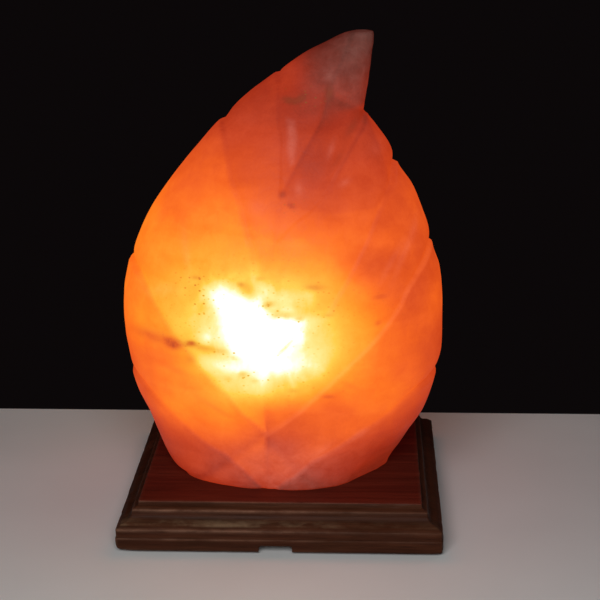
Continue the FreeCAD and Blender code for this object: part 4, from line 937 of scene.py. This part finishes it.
FINISH = {
    "zinc_steel": metal("zinc_steel", (0.62, 0.62, 0.60), (0.48, 0.47, 0.42), (0.28, 0.45), (1, 1, 1), 420.0),
    "grey_nylon": matt("grey_nylon", (0.46, 0.46, 0.45), (0.55, 0.55, 0.54), (0.42, 0.55), 500.0, 0.1),
    "black_felt": felt_material(),
    "white_plastic": matt("white_plastic", (0.84, 0.83, 0.78), (0.78, 0.75, 0.66), (0.28, 0.4), 700.0, 0.06, 60.0),
    "steatite": matt("steatite", (0.80, 0.77, 0.69), (0.70, 0.66, 0.57), (0.5, 0.68), 900.0, 0.2, 130.0, 0.4),
    "brass_plate": metal("brass_plate", (0.78, 0.58, 0.26), (0.55, 0.38, 0.17), (0.22, 0.4), (1, 1, 0.3), 500.0),
    "bronze_strip": metal("bronze_strip", (0.70, 0.42, 0.22), (0.50, 0.28, 0.15), (0.25, 0.42), (1, 6, 1), 300.0),
    "spring_steel": metal("spring_steel", (0.42, 0.43, 0.45), (0.26, 0.25, 0.25), (0.25, 0.42), (1, 1, 5), 350.0),
    "solder": metal("solder", (0.58, 0.58, 0.58), (0.42, 0.42, 0.42), (0.3, 0.5), (1, 1, 1), 600.0),
    "black_vitrite": matt("black_vitrite", (0.010, 0.010, 0.012), (0.022, 0.020, 0.020), (0.08, 0.2), 300.0, 0.05),
    "nickel_brass": metal("nickel_brass", (0.66, 0.62, 0.50), (0.50, 0.45, 0.33), (0.2, 0.36), (1, 1, 4), 420.0),
    "cap_cement": matt("cap_cement", (0.66, 0.58, 0.47), (0.52, 0.44, 0.34), (0.8, 0.95), 1200.0, 0.5, 300.0, 0.2),
    "clear_glass": glass_material(),
    "nickel_wire": metal("nickel_wire", (0.58, 0.56, 0.52), (0.40, 0.37, 0.33), (0.25, 0.4), (1, 1, 1), 900.0),
    "tungsten": tungsten_material(),
}
for row in frame["record"]["subparts"]:
    ob = frame["nodes"][row["node"]]
    if row["material_slot"] in FINISH:
        ob.data.materials.clear()
        ob.data.materials.append(FINISH[row["material_slot"]])

# ------------------------------------------------------------------ table top, light


def board_top():
    """The table's plain top, with a round opening under the lamp through which the holder comes down."""
    x0, x1, y0, y1, t = -0.75, 0.75, -1.05, 0.1235, 0.008
    angles = sorted([2 * math.pi * k / 120 for k in range(120)]
                    + [math.atan2(cy, cx) % (2 * math.pi) for cx in (x0, x1) for cy in (y0, y1)])
    pts = []
    for a in angles:
        c, s = math.cos(a), math.sin(a)
        reach = min((x1 if c > 0 else x0) / c if abs(c) > 1e-9 else 9, (y1 if s > 0 else y0) / s if abs(s) > 1e-9 else 9)
        pts.append((c * reach, s * reach))
    n = len(pts)
    prof = [(0.0, -t), (0.0, -0.0015), (0.0006, -0.0005), (0.0018, 0.0)]
    verts, faces = [], []
    for ins, zz in prof:
        k = 1 - ins / 0.6
        for px, py in pts:
            verts.append((px * k, (py - (y0 + y1) / 2) * k + (y0 + y1) / 2, zz))
    for rad, zz in ((0.0552, 0.0), (0.0547, -0.0005), (0.0547, -t)):
        for a in angles:
            verts.append((rad * math.cos(a), rad * math.sin(a), zz))
    rings = len(verts) // n
    for j in range(rings):
        j2 = (j + 1) % rings
        for i in range(n):
            faces.append((j * n + i, j * n + (i + 1) % n, j2 * n + (i + 1) % n, j2 * n + i))
    ob = mesh_object("table_top", np.array(verts), faces, False)
    m, nt, b = new_material("pale_table")
    a = noise(nt, coords(nt), 14.0, 3.0, 0.5)
    put(nt, b.inputs["Base Color"], mix(nt, a, (0.79, 0.765, 0.755), (0.85, 0.825, 0.815)))
    put(nt, b.inputs["Roughness"], remap(nt, a, 0.3, 0.7, 0.48, 0.60))
    b.inputs["Specular IOR Level"].default_value = 0.35
    ob.data.materials.append(m)
    return ob


board_top()


def area(name, place, aim, size, power, tone):
    d = bpy.data.lights.new(name, "AREA")
    d.shape, d.size, d.size_y = "RECTANGLE", size[0], size[1]
    d.energy, d.color = power, tone
    ob = bpy.data.objects.new(name, d)
    scene.collection.objects.link(ob)
    ob.location = place
    ob.visible_camera = False
    ob.rotation_mode = "QUATERNION"
    ob.rotation_quaternion = (Vector(place) - Vector(aim)).to_track_quat("Z", "Y")
    return ob


area("front_soft", (-0.04, -0.72, 0.42), (0.0, -0.16, 0.0), (0.46, 0.30), 3.7, (0.97, 1.0, 1.0))
area("side_fill", (-1.3, 0.3, 0.8), (0.0, 0.0, 0.08), (0.6, 0.6), 0.4, (0.96, 0.98, 1.0))
area("rear_fill", (0.9, 0.75, 1.0), (0.0, 0.0, 0.1), (0.6, 0.6), 0.7, (0.98, 0.99, 1.0))
area("under_soft", (0.22, -0.42, -0.60), (0.0, 0.0, -0.03), (0.5, 0.5), 2.2, (1.0, 1.0, 1.0))

world = bpy.data.worlds.new("dark_room")
scene.world = world
world.use_nodes = True
bg = world.node_tree.nodes["Background"]
bg.inputs[0].default_value = (0.0034, 0.0024, 0.0026, 1.0)
bg.inputs[1].default_value = 1.0
scene.view_settings.view_transform = "Standard"
scene.view_settings.look = "None"
scene.view_settings.exposure = 0.0
scene.view_settings.gamma = 1.0
